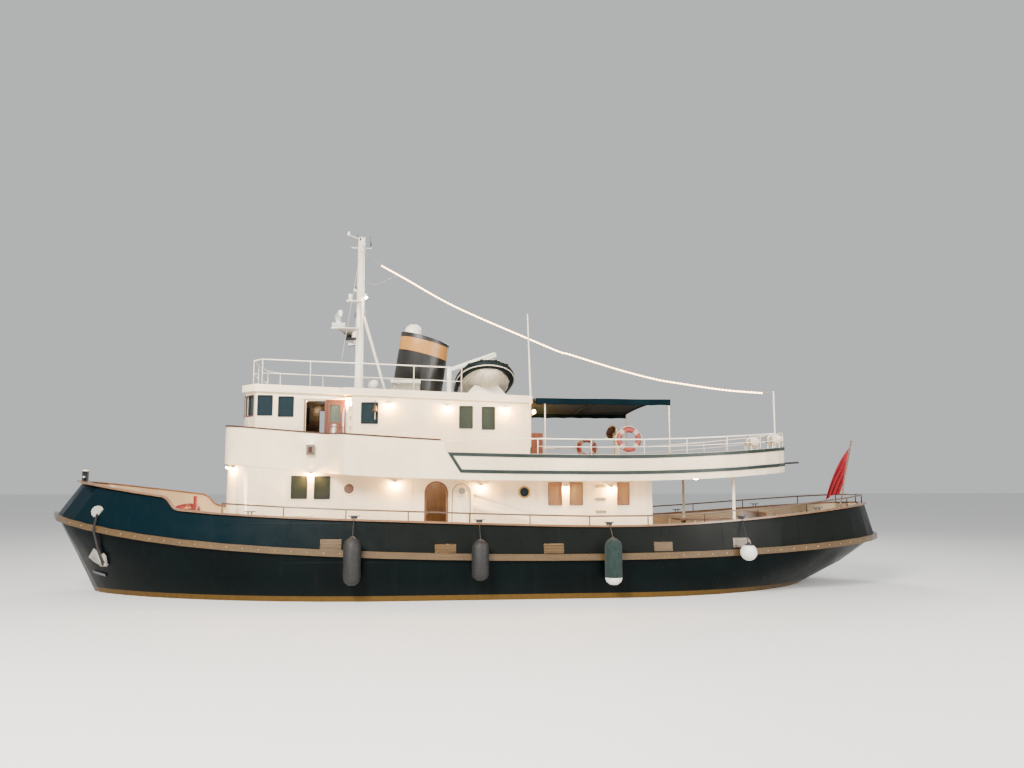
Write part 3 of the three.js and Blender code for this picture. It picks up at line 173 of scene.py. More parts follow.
def enamel(name, colour, roughness=0.3, grime=(0.25, 0.21, 0.15), seams=None, amount=1.0, coat=0.25):
    # Brushed and rolled ship's paint: faint bowing of the plates, runs, grime and worn gloss
    look = enamelLook
    f = Finish(name, colour, roughness, Coat_Weight=coat, Coat_Roughness=0.15)
    broad = f.noise(0.55, 5)
    patches = f.noise(3.2, 6, 0.6)
    runs = f.noise(1.0, 6, 0.6, f.scaled(7, 7, 0.35))
    speck = f.noise(38, 5, 0.7)
    darker = tuple(c * 0.86 for c in colour)
    lighter = tuple(min(1, c * 1.07 + 0.004) for c in colour)
    base = f.mixed(f.span(broad, 0.35, 0.65), darker, lighter)
    base = f.mixed(f.maths("MULTIPLY", f.span(runs, 0.56, 0.8), look["streaks"] * amount), base, grime)
    base = f.mixed(f.maths("MULTIPLY", f.span(speck, 0.62, 0.8), look["grime"] * amount), base, grime)
    f.colour(base)
    f.rough(f.maths("ADD", f.span(patches, 0.3, 0.75, -0.06, 0.12), roughness, clamp=True))
    f.bump(f.noise(0.9, 2), look["plateBow"])
    f.bump(f.noise(170, 2), look["orangePeel"])
    if seams:
        axes = f.axes()
        for axis, pitch in seams.items():
            f.bump(f.stripes(axes[axis], pitch, 0.014), 0.002, 0.7)
    return f


def wood(name, light, dark, along=0, roughness=0.28, boards=None, coat=0.6, grey=0.0):
    # Grain runs along one axis; boards gives the width of the planks and the axis across them
    f = Finish(name, light, roughness, Coat_Weight=coat, Coat_Roughness=0.12)
    stretch = [26.0, 26.0, 26.0]
    stretch[along] = 1.3
    grain = f.noise(1.0, 8, 0.65, f.scaled(*stretch), 0.6)
    stretch = [130.0, 130.0, 130.0]
    stretch[along] = 5.0
    pores = f.noise(1.0, 4, 0.7, f.scaled(*stretch))
    tone = f.noise(0.8, 3)
    base = f.mixed(f.span(grain, 0.32, 0.68), dark, light)
    base = f.mixed(f.span(tone, 0.35, 0.7, 0, 0.35), base, tuple(c * 0.6 for c in dark))
    if boards:
        axes = f.axes()
        width, across = boards
        board = f.maths("FLOOR", f.maths("ADD", f.maths("DIVIDE", axes[across], width), 0.5))
        chance = f.add("ShaderNodeTexWhiteNoise", {"W": board}, noise_dimensions="1D").outputs["Value"]
        base = f.mixed(f.span(chance, 0, 1, 0, 0.4), base, tuple(c * 0.72 for c in dark))
        gap = f.stripes(f.maths("ADD", axes[across], width / 2), width, 0.009)
        shifted = f.maths("ADD", axes[along], f.maths("MULTIPLY", chance, 2.1))
        gap = f.maths("MAXIMUM", gap, f.stripes(shifted, 2.1, 0.008))
        base = f.mixed(gap, base, (0.012, 0.011, 0.01))
        f.bump(gap, -0.002)
    if grey:
        base = f.mixed(f.span(f.noise(2.2, 6, 0.7), 0.4, 0.75, 0, grey), base, (0.33, 0.3, 0.26))
    f.colour(base)
    f.rough(f.span(pores, 0.3, 0.8, roughness * 0.75, min(1, roughness * 1.5)))
    f.bump(grain, 0.0006)
    f.bump(pores, 0.0003)
    return f


def metal(name, colour, roughness, tarnish=(0.06, 0.045, 0.02), amount=0.5, metallic=1.0):
    f = Finish(name, colour, roughness, Metallic=metallic)
    spots = f.noise(14, 6, 0.65)
    f.colour(f.mixed(f.span(spots, 0.48, 0.78, 0, amount), colour, tarnish))
    f.rough(f.span(f.noise(60, 4), 0.3, 0.75, roughness * 0.7, min(1, roughness * 1.6)))
    f.bump(f.noise(220, 3), 0.0003)
    return f


def cloth(name, colour, pale, pitch, roughness=0.85, seams=0.0, nap=0.25):
    # Woven cloth on its own UV map, in metres; the nap sets its sheen and gloss
    f = Finish(name, colour, roughness, Sheen_Weight=nap, Sheen_Roughness=0.4, Specular_IOR_Level=2 * nap)
    axes = f.axes(f.uv("cloth"))
    turn = 2 * math.pi / pitch
    warp = f.maths("ABSOLUTE", f.maths("SINE", f.maths("MULTIPLY", axes["X"], turn)))
    weft = f.maths("ABSOLUTE", f.maths("SINE", f.maths("MULTIPLY", axes["Y"], turn)))
    weave = f.maths("MULTIPLY", warp, weft)
    fade = f.noise(1.6, 6, 0.6)
    fine = f.noise(90, 3)
    base = f.mixed(f.span(fade, 0.35, 0.7, 0, 0.7), colour, pale)
    base = f.mixed(f.span(fine, 0.45, 0.75, 0, 0.35), base, tuple(c * 0.55 for c in colour))
    if seams:
        line = f.stripes(axes["X"], seams, 0.03)
        base = f.mixed(f.maths("MULTIPLY", line, 0.45), base, tuple(c * 0.4 for c in colour))
        f.bump(line, 0.003)
    f.colour(base)
    f.bump(weave, 0.0006)
    f.bump(f.noise(5, 4), 0.006)
    return f


def hullPaint():
    # Painted light on the dark green hull: below the rub rail the near-black 'green' is painted shade, and above the
    # rail 'fore' is a painted bluish sky reflection and 'aft' a painted warm lamp reflection
    look = {"green": (0.0003, 0.0018, 0.0022), "sheen": (0.0008, 0.0034, 0.004), "fore": (0.0012, 0.0075, 0.0115),
            "aft": (0.0065, 0.0078, 0.0072), "boot": (0.09, 0.05, 0.012), "under": (0.16, 0.035, 0.022),
            "bootTop": 0.15, "scum": (0.012, 0.014, 0.012)}
    f = Finish("hullPaint", look["green"], 0.3, Coat_Weight=0.012, Coat_Roughness=0.12, Specular_IOR_Level=0.06)
    axes = f.axes()
    base = f.mixed(f.span(f.noise(0.4, 5), 0.35, 0.68), look["green"], look["sheen"])
    sheer = f.maths("MULTIPLY", f.maths("POWER", f.maths("ADD", axes["X"], 3.0), 2.0), 0.0035)
    aloft = f.maths("SUBTRACT", axes["Z"], sheer)
    # Painted reflections on the topsides above the rail, sky forward blending to lamp light aft
    paintedReflections = f.mixed(f.span(axes["X"], 2.0, 7.0), look["aft"], look["fore"])
    base = f.mixed(f.span(aloft, 1.1, 1.2), base, paintedReflections)
    runs = f.noise(1.0, 6, 0.62, f.scaled(5, 5, 0.3))
    base = f.mixed(f.span(runs, 0.55, 0.82, 0, 0.25), base, look["scum"])
    low = f.span(f.maths("ADD", axes["Z"], f.maths("MULTIPLY", f.noise(2.6, 6, 0.65), 0.5)), 0.35, 0.85, 1, 0)
    base = f.mixed(f.maths("MULTIPLY", low, 0.2), base, look["scum"])
    scuffs = f.span(f.noise(1.0, 8, 0.7, f.scaled(0.9, 0.9, 16)), 0.64, 0.74)
    base = f.mixed(f.maths("MULTIPLY", scuffs, 0.28), base, (0.022, 0.03, 0.03))
    band = f.span(axes["Z"], look["bootTop"] - 0.004, look["bootTop"] + 0.004, 1, 0)
    gold = f.mixed(f.span(f.noise(9, 6), 0.4, 0.75, 0, 0.45), look["boot"], (0.045, 0.026, 0.01))
    base = f.mixed(band, base, gold)
    wet = f.span(axes["Z"], -0.006, 0.004, 1, 0)
    base = f.mixed(wet, base, f.mixed(f.noise(6, 5), look["under"], (0.1, 0.03, 0.02)))
    f.colour(base)
    f.rough(f.maths("ADD", f.span(f.noise(1.7, 6, 0.6), 0.3, 0.75, 0.24, 0.42), f.maths("MULTIPLY", wet, 0.4)))
    f.bump(f.noise(0.8, 2), 0.012)
    for axis, pitch in (("X", 2.42), ("Z", 1.06)):
        f.bump(f.stripes(axes[axis], pitch, 0.02), 0.0022, 0.8)
    f.bump(f.noise(140, 2), 0.0004)
    return f


def funnelPaint():
    look = {"slope": 0.25, "edge": 7.42, "width": 0.44, "black": (0.006, 0.006, 0.0062), "gold": (0.42, 0.19, 0.035)}
    f = enamel("funnelPaint", look["black"], 0.4, (0.02, 0.018, 0.016), coat=0.1)
    axes = f.axes()
    height = f.maths("SUBTRACT", axes["Z"], f.maths("MULTIPLY", axes["X"], look["slope"]))
    low = f.span(height, look["edge"] - look["width"] - 0.003, look["edge"] - look["width"] + 0.003)
    high = f.span(height, look["edge"] - 0.003, look["edge"] + 0.003, 1, 0)
    band = f.maths("MULTIPLY", low, high)
    worn = f.mixed(f.span(f.noise(5, 6), 0.4, 0.8, 0, 0.4), look["gold"], (0.24, 0.11, 0.03))
    plain = f.shader.inputs["Base Color"].links[0].from_socket
    return f.colour(f.mixed(band, plain, worn))


def buoyPaint(name, centre):
    # Four pale bands at the lashings, by the angle round the ring
    look = {"orange": (0.2, 0.02, 0.012), "pale": (0.34, 0.27, 0.24), "half": 0.2}
    f = Finish(name, look["orange"], 0.5)
    axes = f.axes(f.scaled(1, 1, 1, shift=tuple(-c for c in centre)))
    angle = f.maths("ARCTAN2", axes["Z"], axes["X"])
    quarter = f.maths("ABSOLUTE", f.maths("WRAP", f.maths("ADD", angle, math.pi / 4), math.pi / 4, -math.pi / 4))
    band = f.span(quarter, look["half"] - 0.01, look["half"] + 0.01, 1, 0)
    faded = f.mixed(f.span(f.noise(4, 5), 0.35, 0.7, 0, 0.4), look["orange"], (0.26, 0.05, 0.036))
    f.colour(f.mixed(band, faded, look["pale"]))
    f.rough(f.span(f.noise(18, 4), 0.3, 0.7, 0.38, 0.65))
    f.bump(f.noise(60, 3), 0.001)
    return f


def rubber(name, colour, pale, roughness=0.6, scale=9, relief=0.002):
    f = Finish(name, colour, roughness)
    f.colour(f.mixed(f.span(f.noise(scale, 6, 0.65), 0.42, 0.78, 0, 0.7), colour, pale))
    f.rough(f.span(f.noise(scale * 2.2, 4), 0.3, 0.7, roughness * 0.8, min(1, roughness * 1.3)))
    f.bump(f.noise(scale * 7, 4), relief)
    return f


def knit(name, colour, pale):
    f = rubber(name, colour, pale, 0.95, 5, 0.001)
    rows = f.stripes(f.axes()["Z"], 0.012, 0.006)
    f.bump(rows, 0.003)
    f.shader.inputs["Sheen Weight"].default_value = 0.05
    return f


def glass(name, tint, roughness=0.03, transmission=0.45):
    f = Finish(name, tint, roughness, Transmission_Weight=transmission, IOR=1.45)
    f.rough(f.span(f.noise(3, 4), 0.35, 0.75, roughness, roughness * 3))
    f.bump(f.noise(1.4, 2), 0.004)
    return f


def glow(name, colour, strength):
    f = Finish(name, colour, 0.3, Emission_Color=(*colour, 1), Emission_Strength=strength)
    f.colour(f.mixed(f.noise(30, 2), colour, tuple(c * 0.8 for c in colour)))
    f.bump(f.noise(80, 2), 0.0005)
    return f


def rope(name, colour, dark, pitch=0.03):
    f = Finish(name, colour, 0.9)
    axes = f.axes()
    along = f.maths("ADD", f.maths("ADD", axes["X"], axes["Z"]), f.maths("MULTIPLY", axes["Y"], 0.8))
    strand = f.maths("SINE", f.maths("MULTIPLY", along, 2 * math.pi / pitch))
    f.colour(f.mixed(f.span(strand, -0.6, 0.8), dark, colour))
    f.bump(strand, 0.002)
    return f


hullFinish = hullPaint()
cream = enamel("creamEnamel", (0.87, 0.72, 0.5), 0.36, (0.4, 0.27, 0.13), seams={"X": 1.83}, amount=0.5)
white = enamel("whiteEnamel", (0.87, 0.79, 0.65), 0.32, (0.42, 0.31, 0.19), amount=0.5)
green = enamel("greenTrim", (0.0035, 0.014, 0.012), 0.4, (0.015, 0.02, 0.016), coat=0.05)
black = enamel("blackEnamel", (0.014, 0.014, 0.015), 0.34, (0.05, 0.04, 0.03))
red = enamel("redEnamel", (0.15, 0.014, 0.01), 0.4, (0.05, 0.02, 0.014), amount=1.4)
# A darker copy of the cream paint for the inside of the bulwarks: painted shade
shadedInsideCream = enamel("shadedInsideCream", (0.5, 0.4, 0.27), 0.45, (0.25, 0.18, 0.1), amount=0.8)
cowlBrown = enamel("cowlBrown", (0.07, 0.03, 0.035), 0.6, (0.03, 0.015, 0.014), coat=0.05)
shutterBrown = enamel("shutterBrown", (0.13, 0.06, 0.035), 0.55, (0.06, 0.03, 0.02), coat=0.05)
deckPaint = enamel("deckPaint", (0.42, 0.4, 0.35), 0.7, (0.2, 0.17, 0.13), coat=0.0)
anchorGrey = metal("anchorGrey", (0.33, 0.32, 0.28), 0.55, (0.12, 0.07, 0.035), 0.55, 0.15)
dullMetal = metal("dullMetal", (0.1, 0.1, 0.115), 0.6, (0.05, 0.035, 0.025), 0.5, 0.2)
# The chain and shank of each anchor are near-black, much darker than the grey crown and flukes and the galvanised
# chain on deck
nearBlackShank = metal("nearBlackShank", (0.018, 0.014, 0.014), 0.75, (0.03, 0.016, 0.01), 0.6, 0.2)
goldWood = wood("goldenVarnish", (0.1, 0.06, 0.02), (0.058, 0.031, 0.01), coat=0.2)
capWood = wood("capVarnish", (0.24, 0.13, 0.065), (0.12, 0.055, 0.024), coat=0.3)
darkCap = wood("darkVarnish", (0.075, 0.026, 0.014), (0.035, 0.012, 0.007), coat=0.3)
uprightWood = wood("uprightVarnish", (0.17, 0.048, 0.017), (0.085, 0.022, 0.009), along=2, coat=0.4)
crossWood = wood("crossVarnish", (0.22, 0.075, 0.028), (0.12, 0.036, 0.014), along=1, coat=0.4)
teakDeck = wood("teakDeck", (0.42, 0.26, 0.14), (0.27, 0.155, 0.075), roughness=0.62, boards=(0.11, "Y"),
                coat=0.0, grey=0.5)
teakSeat = wood("teakSlats", (0.4, 0.22, 0.1), (0.24, 0.12, 0.05), roughness=0.5, boards=(0.09, "Y"),
                coat=0.1, grey=0.25)
funnelFinish = funnelPaint()
brass = metal("brass", (0.62, 0.42, 0.14), 0.28)
bronze = metal("bronze", (0.5, 0.3, 0.12), 0.35, (0.05, 0.12, 0.08), 0.4)
darkBronze = metal("darkBronze", (0.1, 0.075, 0.05), 0.5, (0.03, 0.04, 0.03), 0.5)
steel = metal("steel", (0.55, 0.55, 0.55), 0.32, (0.2, 0.17, 0.14), 0.35)
galvanised = metal("galvanised", (0.36, 0.36, 0.35), 0.5, (0.2, 0.12, 0.07), 0.5, 0.8)
antifouling = rubber("antifouling", (0.17, 0.035, 0.025), (0.09, 0.04, 0.03), 0.8, 6, 0.001)
fenderBlack = rubber("fenderBlack", (0.004, 0.0042, 0.005), (0.012, 0.012, 0.0125), 0.62)
fenderGreen = knit("fenderCover", (0.003, 0.016, 0.014), (0.006, 0.026, 0.022))
fenderWhite = rubber("fenderVinyl", (0.74, 0.73, 0.68), (0.5, 0.47, 0.4), 0.4, 7, 0.0006)
tubeGreen = rubber("tenderFabric", (0.001, 0.006, 0.0062), (0.0035, 0.012, 0.012), 0.6, 8, 0.0005)
tubeGreen.shader.inputs["Specular IOR Level"].default_value = 0.2
gelcoat = enamel("tenderGelcoat", (0.7, 0.6, 0.46), 0.3, (0.45, 0.36, 0.25), amount=0.6)
radarShell = enamel("radarShell", (0.8, 0.79, 0.74), 0.26, (0.5, 0.45, 0.35), amount=0.4)
awningCloth = cloth("awningCloth", (0.0012, 0.0065, 0.0095), (0.003, 0.013, 0.018), 0.004, seams=1.15, nap=0.02)
bunting = cloth("redBunting", (0.2, 0.008, 0.014), (0.27, 0.028, 0.034), 0.003, nap=0.08)
curtainWithPaintedGlow = cloth("curtainCloth", (0.6, 0.16, 0.03), (0.8, 0.32, 0.08), 0.004)
# Painted light: the curtain cloth glows warm as if lit from the cabin behind it, though it is no lamp
curtainWithPaintedGlow.shader.inputs["Emission Color"].default_value = (1.0, 0.26, 0.045, 1)
curtainWithPaintedGlow.shader.inputs["Emission Strength"].default_value = 1.3
pane = glass("windowGlass", (0.34, 0.42, 0.4), transmission=0.9)
lampGlow = glow("lampGlow", (1.0, 0.56, 0.13), 2400)
cabinGlow = glow("cabinGlow", (1.0, 0.7, 0.38), 150)
stringGlow = glow("stringGlow", (1.0, 0.66, 0.3), 12)
whiteRope = rope("whiteRope", (0.7, 0.67, 0.58), (0.35, 0.32, 0.26))
darkRope = rope("darkRope", (0.03, 0.035, 0.05), (0.008, 0.01, 0.014))
blackPlastic = rubber("blackPlastic", (0.02, 0.02, 0.022), (0.05, 0.05, 0.05), 0.45, 20, 0.0003)
redLens = glow("redLens", (0.05, 0.012, 0.01), 0.02)
greenLens = glow("greenLens", (0.015, 0.12, 0.05), 0.05)
dullBrown = enamel("lanternBrown", (0.17, 0.14, 0.11), 0.5, (0.08, 0.06, 0.045))
greyGreen = enamel("sealGreen", (0.17, 0.2, 0.16), 0.5, (0.1, 0.1, 0.08))
railWood = wood("railVarnish", (0.12, 0.07, 0.042), (0.06, 0.034, 0.022), coat=0.3)
paleWood = wood("panelVarnish", (0.34, 0.2, 0.095), (0.22, 0.12, 0.05), along=2)
rim = rubber("rubberSeal", (0.03, 0.03, 0.032), (0.09, 0.085, 0.08), 0.7, 20, 0.0004)
print("finishes ready")


def linked(name, mesh):
    piece = bpy.data.objects.new(name, mesh)
    scene.collection.objects.link(piece)
    return piece


def shadeByAngle(mesh, degrees):
    mesh.polygons.foreach_set("use_smooth", [True] * len(mesh.polygons))
    mesh.set_sharp_from_angle(angle=math.radians(degrees))


def dress(node, finish, smooth=32, zones=(), bevel=0.0):
    # A merged copy of a CAD node with its own finishes. zones: (finish, test of face centre and normal)
    source = frame["nodes"][node]
    bm = bmesh.new()
    bm.from_mesh(source.data)
    bmesh.ops.remove_doubles(bm, verts=bm.verts, dist=2e-5)
    if bevel:
        bmesh.ops.dissolve_limit(bm, angle_limit=math.radians(0.5), verts=bm.verts, edges=bm.edges)
        sharp = [e for e in bm.edges if len(e.link_faces) == 2 and e.calc_face_angle(0) > math.radians(50)]
        bmesh.ops.bevel(bm, geom=sharp, offset=bevel, segments=2, affect="EDGES", clamp_overlap=True)
    for face in bm.faces:
        face.material_index = 0
        centre = face.calc_center_median()
        for index, (_, test) in enumerate(zones):
            if test(centre, face.normal):
                face.material_index = index + 1
    mesh = bpy.data.meshes.new(node + "Dressed")
    bm.to_mesh(mesh)
    bm.free()
    for f in (finish, *(z[0] for z in zones)):
        mesh.materials.append(f.material)
    shadeByAngle(mesh, smooth)
    piece = linked(node + "Dressed", mesh)
    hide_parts(node)
    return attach(piece, source["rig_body"])


class Maker:
    # Gathers small shapes into one piece, each with its own finish
    def __init__(self):
        self.bm = bmesh.new()
        self.finishes = []

    def take(self, part, finish, place=None):
        if finish not in self.finishes:
            self.finishes.append(finish)
        index = self.finishes.index(finish)
        for face in part.faces:
            face.material_index = index
        if place:
            bmesh.ops.transform(part, matrix=place, verts=part.verts)
        mesh = bpy.data.meshes.new("part")
        part.to_mesh(mesh)
        part.free()
        self.bm.from_mesh(mesh)
        bpy.data.meshes.remove(mesh)

    def block(self, low, high, finish, bevel=0.004, place=None):
        part = bmesh.new()
        size = Vector(high) - Vector(low)
        bmesh.ops.create_cube(part, size=1)
        bmesh.ops.scale(part, vec=size, verts=part.verts)
        bmesh.ops.translate(part, vec=(Vector(high) + Vector(low)) / 2, verts=part.verts)
        if bevel:
            bmesh.ops.bevel(part, geom=part.edges, offset=min(bevel, min(size) * 0.45), segments=2, affect="EDGES")
        self.take(part, finish, place)

    def tube(self, points, radius, finish, sides=12, closed=False, radii=None):
        points = [Vector(p) for p in points]
        part = bmesh.new()
        rings = []
        side = None
        count = len(points)
        for i, p in enumerate(points):
            after = points[(i + 1) % count] if closed or i < count - 1 else p
            before = points[i - 1] if closed or i > 0 else p
            along = (after - before).normalized()
            if side is None:
                side = along.orthogonal().normalized()
            side = (side - along * side.dot(along)).normalized()
            other = along.cross(side)
            r = radii[i] if radii else radius
            rings.append([part.verts.new(p + r * (math.cos(a) * side + math.sin(a) * other))
                          for a in circle(sides)])
        steps = count if closed else count - 1
        for i in range(steps):
            low, high = rings[i], rings[(i + 1) % count]
            shift = 0
            if closed and i == count - 1:  # the last ring meets the first at its nearest turn
                shift = min(range(sides), key=lambda s: (high[s].co - low[0].co).length)
            for k in range(sides):
                part.faces.new((low[k], low[(k + 1) % sides], high[(k + 1 + shift) % sides],
                                high[(k + shift) % sides]))
        if not closed:
            part.faces.new(rings[0][::-1])
            part.faces.new(rings[-1])
        bmesh.ops.recalc_face_normals(part, faces=part.faces)
        self.take(part, finish)

    def lathe(self, profile, finish, place, sides=32):
        # profile rows are (radius, height), closed at the axis or as a ring
        part = bmesh.new()
        rings = []
        for radius, height in profile:
            if radius < 1e-6:
                rings.append([part.verts.new((0, 0, height))] * sides)
            else:
                rings.append([part.verts.new((radius * math.cos(a), radius * math.sin(a), height))
                              for a in circle(sides)])
        loop = profile[0][0] > 1e-6 and profile[-1][0] > 1e-6
        pairs = list(zip(rings, rings[1:])) + ([(rings[-1], rings[0])] if loop else [])
        for low, high in pairs:
            for k in range(sides):
                j = (k + 1) % sides
                corners = list(dict.fromkeys((low[k], low[j], high[j], high[k])))
                if len(corners) > 2:
                    part.faces.new(corners)
        bmesh.ops.recalc_face_normals(part, faces=part.faces)
        self.take(part, finish, place)

    def frame(self, outer, inner, depth, finish, place):
        # A flat ring between two outlines of (across, up) points, raised by the depth along +Z of the place
        part = bmesh.new()
        loops = [[part.verts.new((u, v, w)) for u, v in line]
                 for line, w in ((outer, 0), (outer, depth), (inner, depth), (inner, 0))]
        for a, b in zip(loops, loops[1:] + loops[:1]):
            for k in range(len(outer)):
                j = (k + 1) % len(outer)
                part.faces.new((a[k], a[j], b[j], b[k]))
        bmesh.ops.recalc_face_normals(part, faces=part.faces)
        self.take(part, finish, place)

    def sheetOf(self, outline, low, high, finish, place):
        part = bmesh.new()
        bottom = [part.verts.new((u, v, low)) for u, v in outline]
        top = [part.verts.new((u, v, high)) for u, v in outline]
        part.faces.new(bottom)
        part.faces.new(top)
        for k in range(len(outline)):
            j = (k + 1) % len(outline)
            part.faces.new((bottom[k], bottom[j], top[j], top[k]))
        bmesh.ops.recalc_face_normals(part, faces=part.faces)
        self.take(part, finish, place)

    def strip(self, rows, finish):
        # A closed bar through rows of four points
        part = bmesh.new()
        rings = [[part.verts.new(p) for p in row] for row in rows]
        for a, b in zip(rings, rings[1:]):
            for j in range(4):
                part.faces.new((a[j], a[(j + 1) % 4], b[(j + 1) % 4], b[j]))
        part.faces.new(rings[0])
        part.faces.new(rings[-1])
        bmesh.ops.recalc_face_normals(part, faces=part.faces)
        self.take(part, finish)

    def flipped(self, bm=None):
        # Port becomes starboard
        bm = bm or self.bm
        bmesh.ops.scale(bm, vec=(1, -1, 1), verts=bm.verts)
        bmesh.ops.reverse_faces(bm, faces=bm.faces)

    def mirrored(self):
        # Adds the starboard twin of everything gathered
        twin = self.bm.copy()
        self.flipped(twin)
        mesh = bpy.data.meshes.new("twin")
        twin.to_mesh(mesh)
        twin.free()
        self.bm.from_mesh(mesh)
        bpy.data.meshes.remove(mesh)
        return self

    def done(self, name, slot, body="boat", smooth=40):
        mesh = bpy.data.meshes.new(name)
        self.bm.to_mesh(mesh)
        self.bm.free()
        for f in self.finishes:
            mesh.materials.append(f.material)
        shadeByAngle(mesh, smooth)
        piece = linked(name, mesh)
        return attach(piece, body)


def placed(point, across, up, out):
    return Matrix.Translation(point) @ Matrix((across, up, out)).transposed().to_4x4()


def outward(x, y, z):
    # Place on the port wall: across runs aft, up along Z, and depth outboard
    return placed((x, y, z), (-1, 0, 0), (0, 0, 1), (0, 1, 0))


def lookingForward(point, turn):
    # Place on a wall that looks ahead, turned outboard by the angle
    out = Vector((math.cos(turn), math.sin(turn), 0))
    return placed(Vector(point) + out * frontSkin, (-out.y, out.x, 0), (0, 0, 1), out)


def facing(point, direction):
    # Place whose +Z looks along the direction
    return Matrix.Translation(point) @ Vector(direction).to_track_quat("Z", "Y").to_matrix().to_4x4()


def circle(steps):
    return [2 * math.pi * n / steps for n in range(steps)]


skin, frontSkin = 0.0004, 0.0005  # what lies on a wall stands this far off it
lowerWall, upperWall, wheelWall = 2.35, 2.1, 1.9  # half-widths of the deckhouses


def roundedBox(width, height, corner, steps=6):
    points = []
    for cx, cy, start in ((1, 1, 0), (-1, 1, 90), (-1, -1, 180), (1, -1, 270)):
        for k in range(steps + 1):
            a = math.radians(start + 90 * k / steps)
            points.append((cx * (width / 2 - corner) + corner * math.cos(a),
                           cy * (height / 2 - corner) + corner * math.sin(a)))
    return points


def archOutline(width, low, high, steps=14):
    half = width / 2
    arc = [(half * math.cos(math.pi * k / steps), high - half + half * math.sin(math.pi * k / steps))
           for k in range(steps + 1)]
    return [(half, low)] + arc + [(-half, low)]


def railLine(x):
    # Height of the rub rail, which follows the deck's sheer
    return 1.16 + 3.5e-3 * (x + 3) ** 2 + 0.274 * (max(0.0, x - 6) / 6.46) ** 2.3


def through(rows):
    # A smooth height along the boat through rows of (x, z)
    slopes = []
    for i in range(len(rows)):
        a, b = rows[max(0, i - 1)], rows[min(len(rows) - 1, i + 1)]
        slopes.append((b[1] - a[1]) / (b[0] - a[0]))

    def height(x):
        i = 0
        while i < len(rows) - 2 and x > rows[i + 1][0]:
            i += 1
        step = rows[i + 1][0] - rows[i][0]
        t = (x - rows[i][0]) / step
        value = rows[i][1] * (2 * t**3 - 3 * t**2 + 1) + rows[i + 1][1] * (3 * t**2 - 2 * t**3)
        return value + step * (slopes[i] * (t**3 - 2 * t**2 + t) + slopes[i + 1] * (t**3 - t**2))
    return height


bulwarkLow = through([(-13.6, 2.6), (-11.25, 2.41), (-8.5, 2.18), (-5.8, 2.02), (-3.6, 1.99), (-0.7, 2.06),
                      (2.1, 2.155), (4.8, 2.25), (7.6, 2.405), (8.25, 2.47)])
bulwarkHigh = through([(8.74, 2.84), (10, 3.01), (11.24, 3.19), (12.6, 3.36)])
boatDeckUnder = through([(-10.6, 3.625), (-9, 3.505), (-7.5, 3.396), (-5.1, 3.308), (-2.5, 3.302), (0.5, 3.342),
                         (3.6, 3.468), (7.4, 3.815)])
# Half-breadths of the hull at four levels, and where the middle body ends
hullLevels = {
    "top": {"half": 3.5 - 0.12 * 1.3 / 0.85, "stern": -13.24, "bow": 11.66, "power": 2.3, "fullness": 0.62},
    "rail": {"half": 3.5, "stern": -13.61, "bow": 12.46, "power": 2.3, "fullness": 0.62},
    "belowRail": {"half": 3.465, "bow": 11.8, "power": 2.15, "fullness": 0.7},
    "water": {"half": 3.41, "bow": 11.24, "power": 2.0, "fullness": 0.78}}
midBody = {"fore": 2, "aft": -4, "sternPower": 2.5, "sternFullness": 0.55}
bulwarkStep, flareHeight = 8.74, 1.3


def bulwarkTop(x):
    return bulwarkHigh(x) if x > bulwarkStep else bulwarkLow(x)


def bowTaper(x, level):
    fore = midBody["fore"]
    return (1 - ((x - fore) / (level["bow"] - fore)) ** level["power"]) ** level["fullness"]


def halfBreadth(x, z):
    # From the rub rail up to the cap
    halves = []
    for level in (hullLevels["rail"], hullLevels["top"]):
        if not level["stern"] < x < level["bow"]:
            halves.append(0.0)
            continue
        full = bowTaper(x, level) if x > midBody["fore"] else 1.0
        if x < midBody["aft"]:
            share = (midBody["aft"] - x) / (midBody["aft"] - level["stern"])
            full = (1 - share ** midBody["sternPower"]) ** midBody["sternFullness"]
        halves.append(level["half"] * full)
    share = max(0.0, min(1.0, (z - railLine(x)) / flareHeight))
    return halves[0] + (halves[1] - halves[0]) * share


def bowHalf(x, z):
    # Half-breadth of the bow from the waterline up to the rub rail
    levels = [hullLevels[name] for name in ("water", "belowRail", "rail")]
    halves = [level["half"] * bowTaper(x, level) for level in levels]
    share = 2 * z / railLine(x)
    low, high = halves[:2] if share < 1 else halves[1:]
    return low + (high - low) * (share if share < 1 else share - 1)


def newTree(name, sockets):
    tree = bpy.data.node_groups.new(name, "GeometryNodeTree")
    for label, kind in (*sockets, ("Finish", "Material")):
        tree.interface.new_socket(label, in_out="INPUT", socket_type="NodeSocket" + kind)
    tree.interface.new_socket("Result", in_out="OUTPUT", socket_type="NodeSocketGeometry")
    return tree, tree.nodes.new, tree.links.new, tree.nodes.new("NodeGroupInput")


def endTree(tree, instances, given):
    new, link = tree.nodes.new, tree.links.new
    realize, finish = new("GeometryNodeRealizeInstances"), new("GeometryNodeSetMaterial")
    link(instances, realize.inputs[0])
    link(realize.outputs[0], finish.inputs["Geometry"])
    link(given.outputs["Finish"], finish.inputs["Material"])
    link(finish.outputs[0], new("NodeGroupOutput").inputs[0])
    return tree


